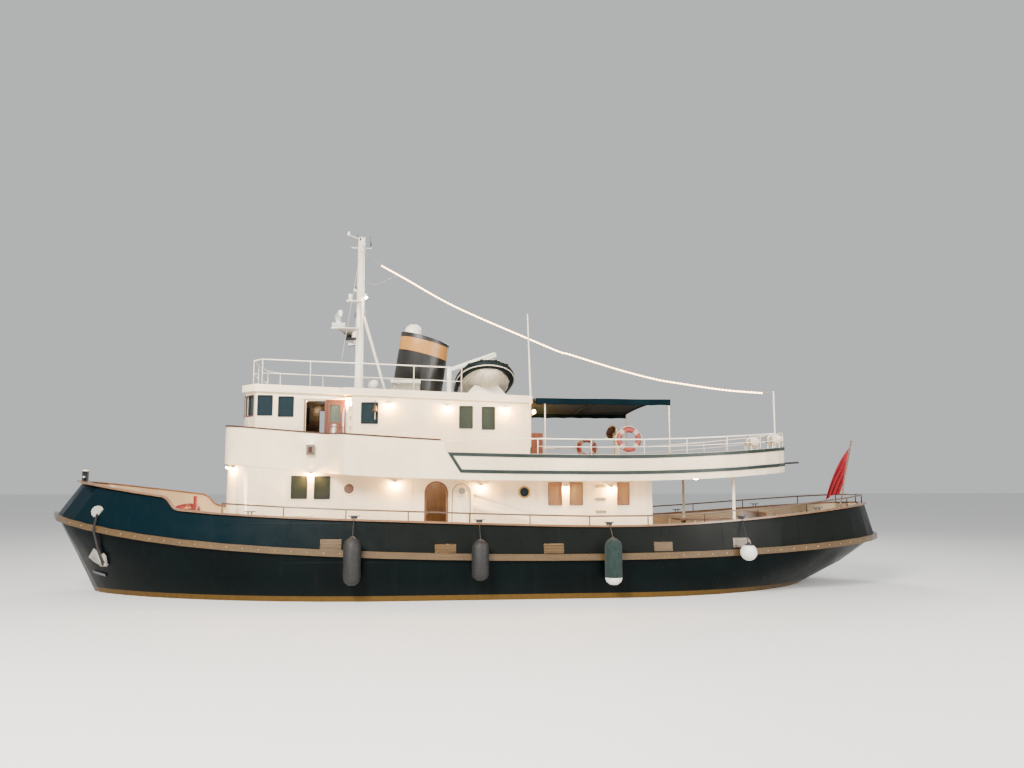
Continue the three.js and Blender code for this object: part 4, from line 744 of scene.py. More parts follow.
def repeatTree():
    # A shape set at even steps along a path, turned to follow it, each one rolled on from the last
    tree, new, link, given = newTree("shapeAlongPath", [("Path", "Geometry"), ("Shape", "Object"),
                                                        ("Spacing", "Float"), ("Roll", "Float")])
    points = new("GeometryNodeCurveToPoints")
    points.mode = "LENGTH"
    link(given.outputs["Path"], points.inputs["Curve"])
    link(given.outputs["Spacing"], points.inputs["Length"])
    place = new("GeometryNodeInstanceOnPoints")
    shape = new("GeometryNodeObjectInfo")
    link(given.outputs["Shape"], shape.inputs["Object"])
    link(points.outputs["Points"], place.inputs["Points"])
    link(shape.outputs["Geometry"], place.inputs["Instance"])
    link(points.outputs["Rotation"], place.inputs["Rotation"])
    index, product, spin = new("GeometryNodeInputIndex"), new("ShaderNodeMath"), new("ShaderNodeCombineXYZ")
    product.operation = "MULTIPLY"
    link(index.outputs[0], product.inputs[0])
    link(given.outputs["Roll"], product.inputs[1])
    link(product.outputs[0], spin.inputs["Z"])
    turn = new("GeometryNodeRotateInstances")
    link(place.outputs["Instances"], turn.inputs["Instances"])
    link(spin.outputs[0], turn.inputs["Rotation"])
    return endTree(tree, turn.outputs["Instances"], given)


def pointTree():
    # A shape on every vertex, turned by the vertex's own attribute
    tree, new, link, given = newTree("shapeOnPoints", [("Places", "Geometry"), ("Shape", "Object"),
                                                       ("Size", "Float")])
    turn = new("GeometryNodeInputNamedAttribute")
    turn.data_type = "FLOAT_VECTOR"
    turn.inputs["Name"].default_value = "turn"
    asRotation = new("FunctionNodeEulerToRotation")
    link(turn.outputs["Attribute"], asRotation.inputs[0])
    shape, place = new("GeometryNodeObjectInfo"), new("GeometryNodeInstanceOnPoints")
    link(given.outputs["Shape"], shape.inputs["Object"])
    link(given.outputs["Places"], place.inputs["Points"])
    link(shape.outputs["Geometry"], place.inputs["Instance"])
    link(asRotation.outputs[0], place.inputs["Rotation"])
    link(given.outputs["Size"], place.inputs["Scale"])
    return endTree(tree, place.outputs["Instances"], given)


alongPath = repeatTree()
onPoints = pointTree()


def settled(carrier, tree, values, name, smooth=40):
    # Runs the tree, keeps its result as a plain mesh, and lets go of the carrier
    modifier = carrier.modifiers.new("repeat", "NODES")
    modifier.node_group = tree
    for item in tree.interface.items_tree:
        if item.in_out == "INPUT" and item.name in values:
            modifier[item.identifier] = values[item.name]
    depsgraph = bpy.context.evaluated_depsgraph_get()
    mesh = bpy.data.meshes.new_from_object(carrier.evaluated_get(depsgraph))
    carrier.modifiers.clear()
    bpy.data.objects.remove(carrier)
    mesh.name = name
    shadeByAngle(mesh, smooth)
    piece = linked(name, mesh)
    bpy.data.objects.remove(values["Shape"])
    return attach(piece, "boat")


def shapeFrom(maker):
    mesh = bpy.data.meshes.new("shape")
    maker.bm.to_mesh(mesh)
    maker.bm.free()
    return linked("shape", mesh)


def repeatAlong(name, paths, shape, spacing, finish, roll=0.0):
    data = bpy.data.curves.new(name + "Path", "CURVE")
    data.dimensions = "3D"
    for points in paths:
        spline = data.splines.new("POLY")
        spline.points.add(len(points) - 1)
        for p, q in zip(spline.points, points):
            p.co = (*q, 1)
    carrier = linked(name + "Path", data)
    values = {"Shape": shapeFrom(shape), "Spacing": spacing, "Roll": roll, "Finish": finish.material}
    return settled(carrier, alongPath, values, name)


def repeatAt(name, places, shape, finish, size=1.0):
    # places: (point, direction the shape's +Z looks)
    mesh = bpy.data.meshes.new(name + "Places")
    mesh.from_pydata([tuple(p) for p, _ in places], [], [])
    turns = mesh.attributes.new("turn", "FLOAT_VECTOR", "POINT")
    angles = [Vector(d).to_track_quat("Z", "Y").to_euler() for _, d in places]
    turns.data.foreach_set("vector", [v for a in angles for v in a])
    carrier = linked(name + "Places", mesh)
    values = {"Shape": shapeFrom(shape), "Size": size, "Finish": finish.material}
    return settled(carrier, onPoints, values, name)


def bothSides(places):
    return places + [((x, -y, z), (a, -b, c)) for (x, y, z), (a, b, c) in places]


# Tests of a face's centre c and normal n, by which a node takes a second finish
flat = 0.9


def isTop(c, n):
    return n.z > flat


def isAbove(height):
    return lambda c, n: c.z > height


def isDeck(c, n):
    return n.z > flat and -0.2 < c.z - railLine(c.x) < 0.4


def isLining(c, n):
    side = n.y * c.y < -0.7 * abs(c.y) and abs(c.y) < wheelWall
    end = n.x * (c.x - 5.4) < -0.8 and abs(c.y) < wheelWall - 0.04
    return side or end


def isInside(c, n):
    return c.z > railLine(c.x) + 0.05 and n.z < flat and n.x * c.x * 0.4 + n.y * c.y < -0.02


def isStemHead(c, n):
    return c.x > 11.6 and abs(c.y) < 0.075 and c.z > 3.24


def isLantern(c, n):
    return 4.55 < c.x < 4.8 and abs(c.y) > 2.39 and 4.04 < c.z < 4.34


def isHorn(c, n):
    return 7.6 < c.z < 7.95 and c.x > 3.66 and abs(c.y) > 0.02


def isRadarFoot(c, n):
    onBracket = 3.97 < c.x < 4.4 and 8.2 < c.z < 8.45
    return onBracket or (c - Vector((2.98, 0.8, 6.29))).length < 0.165


cowlNeck, cowlMiddle, cowlAxis = (Vector(v) for v in ((-4.73, 0.734, 4.8), (-4.65, 0.785, 4.82), (0.17, 0.115, 0.04)))


def isCowlMouth(c, n):
    return (c - cowlNeck).dot(cowlAxis) > -0.01 and n.dot(c - cowlMiddle) < -0.02


def isShank(c, n):
    # The chain and the shank, from under the hawse down to the crown
    along = (2.345 - c.z) / 1.44
    return 0.03 < along < 0.96 and abs(c.x - 10.706 + 0.146 * along**3) < 0.055


tenderTurn = Matrix.Translation((-0.55, 0, 6.49)) @ Matrix.Rotation(math.radians(4), 4, "X")


def isOutboard(c, n):
    p = tenderTurn.inverted() @ c
    return p.y < -1.385 and abs(p.x) < 0.155 and p.z > -0.255


dress("hull", hullFinish, 28, [(teakDeck, isDeck)])
dress("rudder_heel", antifouling)
dress("rub_rail", goldWood, 40)
dress("cap_rail", capWood, 35, [(black, isStemHead)])
dress("bulwark_handrail", railWood, 80)
for side in ("port", "stbd"):
    # The inside faces of the bulwarks take the painted-shade cream
    dress("bulwark_" + side, hullFinish, 28, [(shadedInsideCream, isInside)])
    dress("door_" + side, cream)
    dress("boat_deck_pillar_" + side, white)
    dress("wheelhouse_door_" + side, uprightWood, bevel=0.003)
    dress("anchor_" + side, anchorGrey, 35, [(nearBlackShank, isShank)])
for node in ("lower_deckhouse", "upper_deckhouse"):
    dress(node, cream)
dress("inner_bulkheads", paleWood, zones=[(darkCap, isAbove(3.8))])
dress("boat_deck", cream, 30, [(teakDeck, isTop)])
dress("boat_deck_bulwark", cream, zones=[(dullBrown, isLantern)])
dress("bridge_cap", darkCap, 35)
dress("boat_deck_moulding", green, 35)
dress("wheelhouse", cream, zones=[(darkCap, isLining)])
dress("upper_roof", cream, zones=[(deckPaint, isTop), (white, isAbove(5.95))], bevel=0.012)
dress("wheelhouse_roof", cream, zones=[(deckPaint, isTop)], bevel=0.012)
for node in ("boat_deck_rail", "roof_rail"):
    dress(node, white, 80)
dress("mast", white, 50, [(black, isHorn), (radarShell, isRadarFoot)])
dress("radar_scanner", radarShell, bevel=0.02)
dress("funnel", funnelFinish, 40)
dress("funnel_dome", white, 60)
dress("roof_locker", white, bevel=0.02)
dress("tender_tube", tubeGreen, 60)
dress("tender_hull", gelcoat, 25, [(blackPlastic, isOutboard)])
dress("tender_cradle", white, bevel=0.006)
for node in ("crane_post", "crane_turret"):
    dress(node, white)
dress("crane_boom", white, bevel=0.008)
dress("awning_frame", white, 50, [(darkRope, isAbove(5.62))])
dress("cowl_vent", white, 50, [(cowlBrown, isCowlMouth)])
dress("deck_cabinet", uprightWood, bevel=0.01)
dress("windlass_frame", red, 40, bevel=0.006)
dress("windlass_heads", red, 40)
for node in ("bitts_fore", "bitts_aft"):
    dress(node, black, 50)
dress("fender_black_fore", fenderBlack, 60, [(darkRope, isAbove(1.78))])
dress("fender_black_mid", fenderBlack, 60, [(darkRope, isAbove(1.68))])
dress("fender_green", fenderGreen, 60, [(darkRope, isAbove(1.7)),
                                                        (fenderWhite, lambda c, n: c.z < 0.6)])
dress("fender_ball", fenderWhite, 60, [(darkRope, isAbove(1.46))])
dress("ensign_staff", capWood, 60)
for node in ("aft_table", "aft_bench"):
    dress(node, teakSeat, bevel=0.006)
dress("helm_console", crossWood, bevel=0.01)
dress("helm_wheel", uprightWood, 50)
dress("propeller", bronze, 40)
dress("rudder", antifouling, bevel=0.01)
buoyCentre = Vector((-4.56, 3.0977, 4.5117))
for side, s in (("port", 1), ("stbd", -1)):
    finish = buoyPaint("buoy" + side.title(), buoyCentre * Vector((1, s, 1)))
    dress("lifebuoy_" + side, finish, 70)
print("CAD nodes finished")


windowLook = {"corner": 0.035, "bead": 0.026, "seal": 0.014, "proud": 0.014, "glassDepth": 0.03}
lowerWindows = [(5.21, 4.74, 2.78, 3.45), (4.56, 4.09, 2.77, 3.44), (-2.27, -2.69, 2.575, 3.26),
                (-2.91, -3.32, 2.575, 3.26), (-4.355, -4.74, 2.575, 3.26)]
upperWindows = [(3.28, 2.77, 4.97, 5.62), (0.38, -0.04, 4.85, 5.54), (-0.3, -0.71, 4.82, 5.52)]
wheelWindows = [(6.31, 5.86, 5.2, 5.82), (5.71, 5.25, 5.17, 5.79)]


def fitWindow(frames, panes, place, width, height, bead=cream, tint=None):
    look = windowLook
    outer = roundedBox(width + 2 * look["bead"], height + 2 * look["bead"], look["corner"] + look["bead"])
    middle = roundedBox(width + 0.004, height + 0.004, look["corner"])
    inner = roundedBox(width - 2 * look["seal"], height - 2 * look["seal"], look["corner"] - look["seal"] / 2)
    frames.frame(outer, middle, look["proud"], bead, place)
    frames.frame(middle, inner, look["proud"] + 0.005, rim, place)
    low = -look["glassDepth"]
    panes.sheetOf(roundedBox(width - 0.006, height - 0.006, 0.02), low - 0.008, low, tint or pane, place)


def sideWindows(rows, wall, frames, panes, bead, tint):
    for fore, aft, low, high in rows:
        place = outward((fore + aft) / 2, wall + skin, (low + high) / 2)
        fitWindow(frames, panes, place, fore - aft, high - low, bead, tint)


paneLower = glass("lowerGlass", (0.035, 0.042, 0.03), 0.04)
paneUpper = glass("upperGlass", (0.06, 0.075, 0.055), 0.06)
paneDark = glass("wheelhouseGlass", (0.018, 0.035, 0.045), 0.03)
palePane = glass("leafGlass", (0.55, 0.55, 0.45), 0.1)
frames, panes = Maker(), Maker()
for rows, wall, tint in ((lowerWindows[:2], lowerWall, paneLower), (lowerWindows[2:], lowerWall, pane),
                         (upperWindows[:1], upperWall, paneDark), (upperWindows[1:], upperWall, paneUpper),
                         (wheelWindows, wheelWall, paneDark)):
    sideWindows(rows, wall, frames, panes, cream, tint)
cornerTurn, frontTurn = math.atan2(0.43, 0.65), math.atan2(0.12, 1.25)
fitWindow(frames, panes, lookingForward((6.565, 1.575, 5.52), cornerTurn), 0.48, 0.6, crossWood, paneDark)
fitWindow(frames, panes, lookingForward((6.9 - 0.12 * 0.96 / 1.25, 0.96, 5.53), frontTurn), 0.8, 0.6,
          crossWood, paneDark)
frames.mirrored()
panes.mirrored()
fitWindow(frames, panes, lookingForward((6.9015, 0, 5.53), 0), 0.8, 0.6, crossWood, paneDark)
frames.done("windowFrames", "cream_paint")
panes.done("windowPanes", "radar_shell")

portLook = {"ring": 0.045, "proud": 0.03, "bolts": 8}


def portRing(maker, x, wall, z, radius, metalFinish=brass):
    place = facing((x, wall, z), (0, 1, 0))
    look = portLook
    r = radius
    maker.lathe([(r - 0.012, -0.05), (r - 0.012, 0.012), (r, look["proud"]), (r + look["ring"] * 0.7, look["proud"]),
                 (r + look["ring"], 0.008), (r + look["ring"], skin), (r - 0.002, skin), (r - 0.002, -0.05)],
                metalFinish, place, 36)
    for k in range(look["bolts"]):
        a = 2 * math.pi * (k + 0.5) / look["bolts"]
        at = place @ Matrix.Translation(((r + 0.02) * math.cos(a), (r + 0.02) * math.sin(a), look["proud"] - 0.004))
        maker.lathe([(0, 0.008), (0.006, 0.006), (0.008, 0), (0, 0)], metalFinish, at, 8)


def paneDisc(maker, radius, finish, point):
    thick = 0.004
    maker.lathe([(0, thick), (radius, thick), (radius, -thick), (0, -thick)], finish, facing(point, (0, 1, 0)), 28)


forePort, aftPort = (3.56, lowerWall, 3.07), (-1.56, lowerWall, 2.97)
ports = Maker()
portRing(ports, *forePort, 0.15, cream)
portRing(ports, *aftPort, 0.14)
# The fore port has its shutter closed
ports.lathe([(0, 0.03), (0.1, 0.026), (0.166, 0.012), (0.17, 0.002), (0.14, 0.002), (0.14, -0.016), (0, -0.016)],
            shutterBrown, facing(forePort, (0, 1, 0)), 28)
ports.mirrored().done("portRings", "bronze")
portPanes = Maker()
paneDisc(portPanes, 0.134, paneDark, Vector(aftPort) - Vector((0, 0.025, 0)))
portPanes.mirrored().done("portPanes", "radar_shell")


def arch(centre, width, low, high):
    return [(-(centre + u), v) for u, v in archOutline(width, low, high)]


leafLook = {"middle": 0.3, "face": 2.3965, "port": 3.0, "line": 0.31, "handle": 0.06}
doorLook = {"middle": 1.04, "width": 0.59, "sill": 1.49, "high": 3.24, "trim": 0.055, "clear": 0.002}
sliderLook = {"middle": 4.04, "face": 1.9462, "pane": 5.285, "panels": ((3.9, 4.28), (4.36, 4.92))}
for name in ("port", "stbd"):
    leaf, look = Maker(), leafLook
    portRing(leaf, look["middle"], look["face"], look["port"], 0.11, cream)
    paneDisc(leaf, 0.104, palePane, (look["middle"], look["face"] - 0.0185, look["port"]))
    leaf.frame(arch(look["line"], 0.56, 1.56, 3.23), arch(look["line"], 0.505, 1.587, 3.2025), 0.01, greyGreen,
               outward(0, look["face"], 0))
    leaf.tube([(look["handle"], y, z) for y, z in ((2.401, 2.2), (2.44, 2.2), (2.44, 2.36), (2.401, 2.36))],
              0.009, brass, 8)
    slider, look = Maker(), sliderLook
    place = outward(look["middle"], look["face"], look["pane"])
    slider.frame(roundedBox(0.4, 0.63, 0.05), roundedBox(0.3, 0.53, 0.02), 0.008, crossWood, place)
    slider.sheetOf(roundedBox(0.316, 0.546, 0.01), -0.022, -0.014, pane, place)
    slider.block((3.785, look["face"], 4.5), (3.815, 1.975, 4.72), brass, 0.006)
    for low, high in look["panels"]:
        slider.frame(roundedBox(0.46, high - low, 0.015), roundedBox(0.4, high - low - 0.06, 0.01), 0.007,
                     crossWood, outward(look["middle"], look["face"], (low + high) / 2))
    if name == "stbd":
        leaf.flipped()
        slider.flipped()
    leaf.done("doorFittings_" + name, "varnished_wood", name + "_door")
    slider.done("sliderTrim_" + name, "varnished_wood", name + "_slider")

look = doorLook
doorTrim = Maker()
outer = arch(look["middle"], look["width"] + 2 * look["trim"], look["sill"], look["high"] + look["trim"])
inner = arch(look["middle"], look["width"] + 2 * look["clear"], look["sill"], look["high"] + look["clear"])
doorTrim.frame(outer, inner, 0.005, crossWood, outward(0, lowerWall + skin, 0))
doorTrim.block((0.74, 2.29, 1.45), (1.34, 2.37, 1.485), crossWood, 0.006)
doorTrim.block((4.3404, 1.842, 3.9), (4.358, 1.8996, 5.66), uprightWood, 0.003)
doorTrim.block((4.922, wheelWall + skin, 3.66), (4.95, 1.94, 5.7), uprightWood, 0.004)
doorTrim.mirrored().done("doorTrim", "varnished_wood")
print("windows and doors fitted")


flapLook = {"inset": 0.012, "thick": 0.035, "slats": 3, "gap": 0.008, "side": 0.006, "steps": 4}
freeingPorts = [(4.23, 3.66, 1.41, 1.69), (1.09, 0.5, 1.3, 1.55), (-1.97, -2.54, 1.27, 1.53),
                (-5.16, -5.71, 1.3, 1.56), (-7.57, -8.13, 1.37, 1.66)]
flaps = Maker()
for fore, aft, low, high in freeingPorts:
    look = flapLook
    height = (high - low - 2 * look["gap"]) / look["slats"]
    for k in range(look["slats"]):
        z0, z1 = low + look["gap"] + k * height, low + look["gap"] / 2 + (k + 1) * height
        rows = []
        for i in range(look["steps"] + 1):
            x = aft + look["side"] + (fore - aft - 2 * look["side"]) * i / look["steps"]
            rows.append([(x, halfBreadth(x, z) - look["inset"] - back, z)
                         for z, back in ((z0, 0), (z1, 0), (z1, look["thick"]), (z0, look["thick"]))])
        flaps.strip(rows, goldWood)
flaps.mirrored().done("freeingFlaps", "varnished_wood")

stem = Maker()
stem.tube([(11.7, -0.17, 3.42), (11.7, 0.17, 3.42)], 0.035, galvanised, 12)
stem.lathe([(0.1, 0), (0.1, 0.03), (0.0, 0.045), (0, 0)], white, Matrix.Translation((11.7, 0, 3.6)), 20)
stem.done("stemPost", "black_paint")

booms = Maker()
boomRoot, boomEnd = Vector((-10.245, 0.9, 3.865)), Vector((-10.73, 1.0, 3.9))
booms.tube([boomRoot, boomEnd], 0.033, black, 12)
booms.lathe([(0.075, 0), (0.075, 0.02), (0.045, 0.03), (0.045, 0.05), (0, 0.05), (0, 0)], black,
            facing(boomRoot, boomEnd - boomRoot), 16)
booms.mirrored().done("sternBooms", "black_paint")

raftLook = {"x": -9.94, "y": 0.9, "half": 0.34, "radius": 0.17, "legs": 0.85, "spread": 0.11, "straps": (-0.2, 0.2),
            "pipe": 0.018, "deckThick": 0.0603}
look = raftLook
raft = Maker()
half, r = look["half"], look["radius"]
raftDeck = boatDeckUnder(look["x"]) + look["deckThick"]
raftMiddle = Vector((look["x"], look["y"], raftDeck + look["legs"] + r))
endShape = [(0, half), (r * 0.6, half), (r * 0.9, half - 0.03), (r, half - 0.09), (r, 0.012), (r + 0.012, 0.01)]
raft.lathe([(radius, -height) for radius, height in endShape] + endShape[::-1], gelcoat,
           facing(raftMiddle, (0, 1, 0)), 36)
for along in look["straps"]:
    reach = r + 0.004
    raft.tube([raftMiddle + Vector((reach * math.cos(a), along, reach * math.sin(a))) for a in circle(24)],
              0.012, darkRope, 8, closed=True)
    for dx in (-look["spread"], look["spread"]):
        foot = Vector((look["x"] + dx, look["y"] + along, raftDeck))
        raft.tube([foot, foot + Vector((0, 0, look["legs"] + 0.04))], look["pipe"], white, 10)
        raft.lathe([(0, 0), (0.045, 0), (0.045, 0.008), (0.02, 0.014), (0, 0.014)], white,
                   Matrix.Translation(foot), 14)
    raft.tube([raftMiddle + Vector((dx, along, dz)) for dx, dz in
               ((-0.12, 0.03 - r), (0, -0.015 - r), (0.12, 0.03 - r))], look["pipe"], white, 10)
raft.mirrored().done("raftCanisters", "white_paint")

cleatLook = {"arm": 0.16, "neck": 0.09, "feet": 0.05, "high": 0.075, "tip": 0.085, "capThick": 0.052, "inset": 0.03}
fenderSpots = (3.33, -0.15, -3.88, -7.9)


def capSpot(x):
    # On the cap rail, over the bulwark
    return halfBreadth(x, bulwarkTop(x)) - cleatLook["inset"], bulwarkTop(x) + cleatLook["capThick"]


cleats, look = Maker(), cleatLook
for x in (*fenderSpots, 6.2, -10.6):
    y, z = capSpot(x)
    horns = ((-look["arm"], look["tip"]), (-look["neck"], look["high"]), (look["neck"], look["high"]),
             (look["arm"], look["tip"]))
    cleats.tube([(x + dx, y, z + dz) for dx, dz in horns], 0.018, black, 10, radii=[0.008, 0.018, 0.018, 0.008])
    for dx in (-look["feet"], look["feet"]):
        cleats.tube([(x + dx, y, z - 0.002), (x + dx, y, z + look["high"])], 0.016, black, 10)
cleats.mirrored().done("capCleats", "black_paint")

turnLook = {"count": 4, "first": 0.02, "pitch": 0.014, "long": 0.085, "wide": 0.032, "rope": 0.009}
turns, look = Maker(), turnLook
for x in fenderSpots:
    y, z = capSpot(x)
    for k in range(look["count"]):
        h = z + look["first"] + look["pitch"] * k
        turns.tube([(x + look["long"] * math.cos(a), y + look["wide"] * math.sin(a), h + 0.004 * math.sin(2 * a))
                    for a in circle(20)], look["rope"], darkRope, 8, closed=True)
turns.done("fenderLashings", "black_rubber")

bollards = Maker()
for x, z in ((10.35, 1.98), (-11.3, 1.49)):
    for y in (-0.55, 0.55):
        bollards.tube([(x - 0.2, y, z + 0.1), (x + 0.2, y, z + 0.1)], 0.02, galvanised, 8)
bollards.done("bittEyes", "black_paint")

stayLook = {"first": 10.8, "pitch": 0.92, "count": 26, "inset": 0.16, "lowestWall": 0.75}
stay, look = Maker(), stayLook
stay.block((-0.03, -0.006, 0), (0.03, 0.006, 0.62), cream, 0.002)
stay.block((-0.05, -0.02, 0), (0.05, 0.02, 0.012), cream, 0.002)
stayPlaces = []
for k in range(look["count"]):
    x = look["first"] - k * look["pitch"]
    y = halfBreadth(x, railLine(x) + 0.2) - look["inset"]
    if y > 0.4 and bulwarkTop(x) - railLine(x) > look["lowestWall"]:
        stayPlaces.append(((x, y, railLine(x) + 0.1), (0, -look["inset"], 1)))
repeatAt("bulwarkStays", bothSides(stayPlaces), stay, cream)

boltLook = {"first": 11.6, "pitch": 0.44, "count": 56, "proud": 0.084, "last": -12.9, "widest": 3.568}
bolt, look = Maker(), boltLook
bolt.lathe([(0, 0.016), (0.014, 0.012), (0.022, 0), (0, 0)], bronze, Matrix.Identity(4), 8)
boltPlaces = []
for k in range(look["count"]):
    x = look["first"] - k * look["pitch"]
    z = railLine(x)
    y = halfBreadth(x, z) + look["proud"]
    if x > look["last"] and y < look["widest"]:
        slope = (halfBreadth(x + 0.1, z) - halfBreadth(x - 0.1, z)) / 0.2
        boltPlaces.append(((x, y, z), (-slope, 1, 0)))
repeatAt("rubRailBolts", bothSides(boltPlaces), bolt, bronze)

barLook = {"aft": 10.6, "fore": 11.08, "low": 0.52, "rise": 0.08, "high": 0.075, "proud": 0.03, "steps": 12}
bars, look = Maker(), barLook
rows = []
for i in range(look["steps"] + 1):
    share = i / look["steps"]
    x = look["aft"] + (look["fore"] - look["aft"]) * share
    low = look["low"] + look["rise"] * share
    high = low + look["high"]
    rows.append([(x, bowHalf(x, z) + off, z) for z, off in
                 ((low, 0.002), (low, look["proud"]), (high, look["proud"]), (high, 0.002))])
bars.strip(rows, dullMetal)
bars.mirrored().done("bowBars", "anchor_paint")
print("hull fittings made")


lampLook = {"arm": 0.1, "bulb": 0.04, "hood": 0.055}
lampSpots = [(2.46, upperWall, 5.60), (0.74, upperWall, 5.53), (-1.01, upperWall, 5.5), (4.65, 2.37, 3.52),
             (2.24, lowerWall, 3.26), (-0.27, lowerWall, 3.17), (-2.82, lowerWall, 3.14), (-4.2, lowerWall, 3.12)]
fitting, bulb = Maker(), Maker()
fitting.lathe([(0, 0.012), (0.034, 0.012), (0.045, 0), (0, 0)], brass, Matrix.Identity(4), 16)
fitting.tube([(0, 0, 0.005), (0, 0.004, 0.07), (0, -0.006, lampLook["arm"])], 0.009, brass, 8)
hoodPlace = Matrix.Translation((0, -0.004, lampLook["arm"])) @ Matrix.Rotation(math.radians(90), 4, "X")
fitting.lathe([(0.012, -0.02), (0.03, -0.012), (lampLook["hood"], 0.03), (lampLook["hood"] - 0.004, 0.03),
               (0.028, -0.006), (0.012, -0.012)], brass, hoodPlace, 20)
bulb.lathe([(0, 0.0), (0.024, 0.006), (lampLook["bulb"], 0.03), (lampLook["bulb"], 0.05), (0.024, 0.074), (0, 0.08)],
           lampGlow, hoodPlace, 14)
lampPlaces = bothSides([((x, y + skin, z), (0, 1, 0)) for x, y, z in lampSpots] +
                       [((6.86, 2.2434, 3.69), (0.54, 0.84, 0))])
lampPlaces += [((7.205, y, 3.75), (1, 0, 0)) for y in (0.9, -0.9)]
repeatAt("lampFittings", lampPlaces, fitting, brass)
repeatAt("lampBulbs", lampPlaces, bulb, lampGlow)

ceiling = Maker()
domes = [(1.05, 0.8, 3.345), (3.9, 0.8, 3.475), (-2.6, 0.0, 3.295), (1.0, 0.9, 5.7), (5.2, 0, 5.85), (-7.6, 0, 3.395)]
for spot in domes:
    place = Matrix.Translation(spot)
    ceiling.lathe([(0, -0.05), (0.07, -0.04), (0.1, 0), (0, 0)], cabinGlow, place, 20)
    ceiling.lathe([(0.1, -0.012), (0.12, -0.006), (0.12, 0.0), (0.1, 0.0)], brass, place, 20)
ceiling.done("ceilingLamps", "white_paint")

recess = Maker()
recess.lathe([(0, 0.07), (0.035, 0.06), (0.045, 0.02), (0.03, 0), (0, 0)], lampGlow,
             facing((3.62, 2.02, 5.6), (0, 0.4, -1)), 16)
recess.tube([(3.551, 2.0, 5.66), (3.6, 2.01, 5.66), (3.62, 2.02, 5.61)], 0.009, brass, 8)
recess.block((-1.86, 2.02, 5.26), (-1.8, 2.09, 5.43), brass, 0.012)
recess.lathe([(0, 0.09), (0.035, 0.075), (0.05, 0.03), (0.03, 0), (0, 0)], lampGlow,
             facing((-1.88, 2.06, 5.42), (-0.3, 0.2, -1)), 16)
recess.mirrored().done("cornerLamps", "white_paint")

stringLook = {"rope": 0.019, "bulbPitch": 0.11, "bulb": 0.03}
stringPath = [(3.36, 0.0, 10.73), (2.83, 0, 10.3), (2.07, 0.13, 9.86), (0.44, 0.41, 8.91), (-1.98, 0.82, 7.8),
              (-2.89, 0.98, 7.4), (-3.21, 1.03, 7.31), (-4.64, 1.28, 6.84), (-5.82, 1.48, 6.51), (-6.62, 1.61, 6.36),
              (-7.94, 1.84, 6.15), (-9.12, 2.04, 6.04), (-9.45, 2.1, 6.07)]


def smoothLine(points, count):
    # Catmull-Rom through the points
    points = [Vector(p) for p in points]
    ends = [2 * points[0] - points[1]] + points + [2 * points[-1] - points[-2]]
    result = []
    for k in range(count + 1):
        s = (len(points) - 1) * k / count
        i = min(int(s), len(points) - 2)
        t = s - i
        a, b, c, d = ends[i:i + 4]
        bend, twist = 2 * a - 5 * b + 4 * c - d, 3 * b - a - 3 * c + d
        result.append(0.5 * (2 * b + (c - a) * t + bend * t * t + twist * t**3))
    return result


string = Maker()
line = smoothLine(stringPath[1:-1], 120)
string.tube(line, stringLook["rope"], stringGlow, 8)
string.tube([(3.44, 0.0, 10.78), *stringPath[:2]], 0.008, galvanised, 6)
string.tube(stringPath[-2:], 0.008, galvanised, 6)
string.done("lightString", "white_paint")
oneBulb = Maker()
oneBulb.lathe([(0, -0.02), (stringLook["bulb"], -0.008), (stringLook["bulb"], 0.008), (0, 0.02)], stringGlow,
              Matrix.Identity(4), 8)
repeatAlong("lightStringBulbs", [line], oneBulb, stringLook["bulbPitch"], stringGlow)
print("lamps and light string made")


for name, lens in (("Port", redLens), ("Starboard", greenLens)):
    sidelight = Maker()
    sidelight.block((4.52, 2.372, 4.02), (4.82, 2.386, 4.36), cream, 0.004)
    sidelight.block((4.6, 2.45, 4.085), (4.75, 2.515, 4.295), lens, 0.02)
    if lens is greenLens:
        sidelight.flipped()
    sidelight.done("sidelight" + name, "black_paint")

ventLook = {"x": -3.86, "heights": (3.14, 2.76, 2.385), "slat": 0.28, "slats": 3, "pitch": 0.014}
vents, look = Maker(), ventLook
for z in look["heights"]:
    vents.frame(roundedBox(0.33, 0.075, 0.036), roundedBox(0.295, 0.048, 0.022), 0.012, dullBrown,
                outward(look["x"], lowerWall + skin, z))
    for k in range(look["slats"]):
        low = z - 0.018 + look["pitch"] * k
        vents.block((look["x"] - look["slat"] / 2, lowerWall + skin, low),
                    (look["x"] + look["slat"] / 2, 2.358, low + 0.006), brass, 0.0015)
vents.mirrored().done("louvres", "bronze")

seams = Maker()
for x in (6.0, 3.1, 1.75, -0.95, -1.95, -5.3):
    seams.block((x - 0.016, lowerWall + skin, railLine(x) + 0.12), (x + 0.016, 2.357, boatDeckUnder(x) - 0.02),
                cream, 0.003)
for x in (2.3, 1.55, -1.2):
    seams.block((x - 0.014, upperWall + skin, 4.6), (x + 0.014, 2.106, 5.66 + 0.0345 * x), cream, 0.003)
seams.tube([(0.78, 3.18, 4.42), (-0.55, 3.18, 4.5), (-1.85, 3.18, 4.51)], 0.014, white, 8)
for x, top in ((3.55, 5.82), (-1.77, 5.64)):
    seams.block((x - 0.03, 2.06, 4.3), (x + 0.004, 2.106, top - 0.02), cream, 0.006)
seams.mirrored().done("panelBattens", "cream_paint")

closing = Maker()
closing.block((3.5524, 1.8, 3.53), (3.6976, 1.88, 5.78), cream, 0.006)
closing.block((3.5524, 1.88, 5.74), (3.6976, 2.0, 5.78), cream, 0.006)
closing.block((4.62, lowerWall + skin, 2.08), (5.1, 2.44, 2.3), cream, 0.02)
closing.block((4.6, lowerWall + skin, 2.29), (5.12, 2.446, 2.315), cream, 0.008)
closing.mirrored().done("housePanels", "cream_paint")

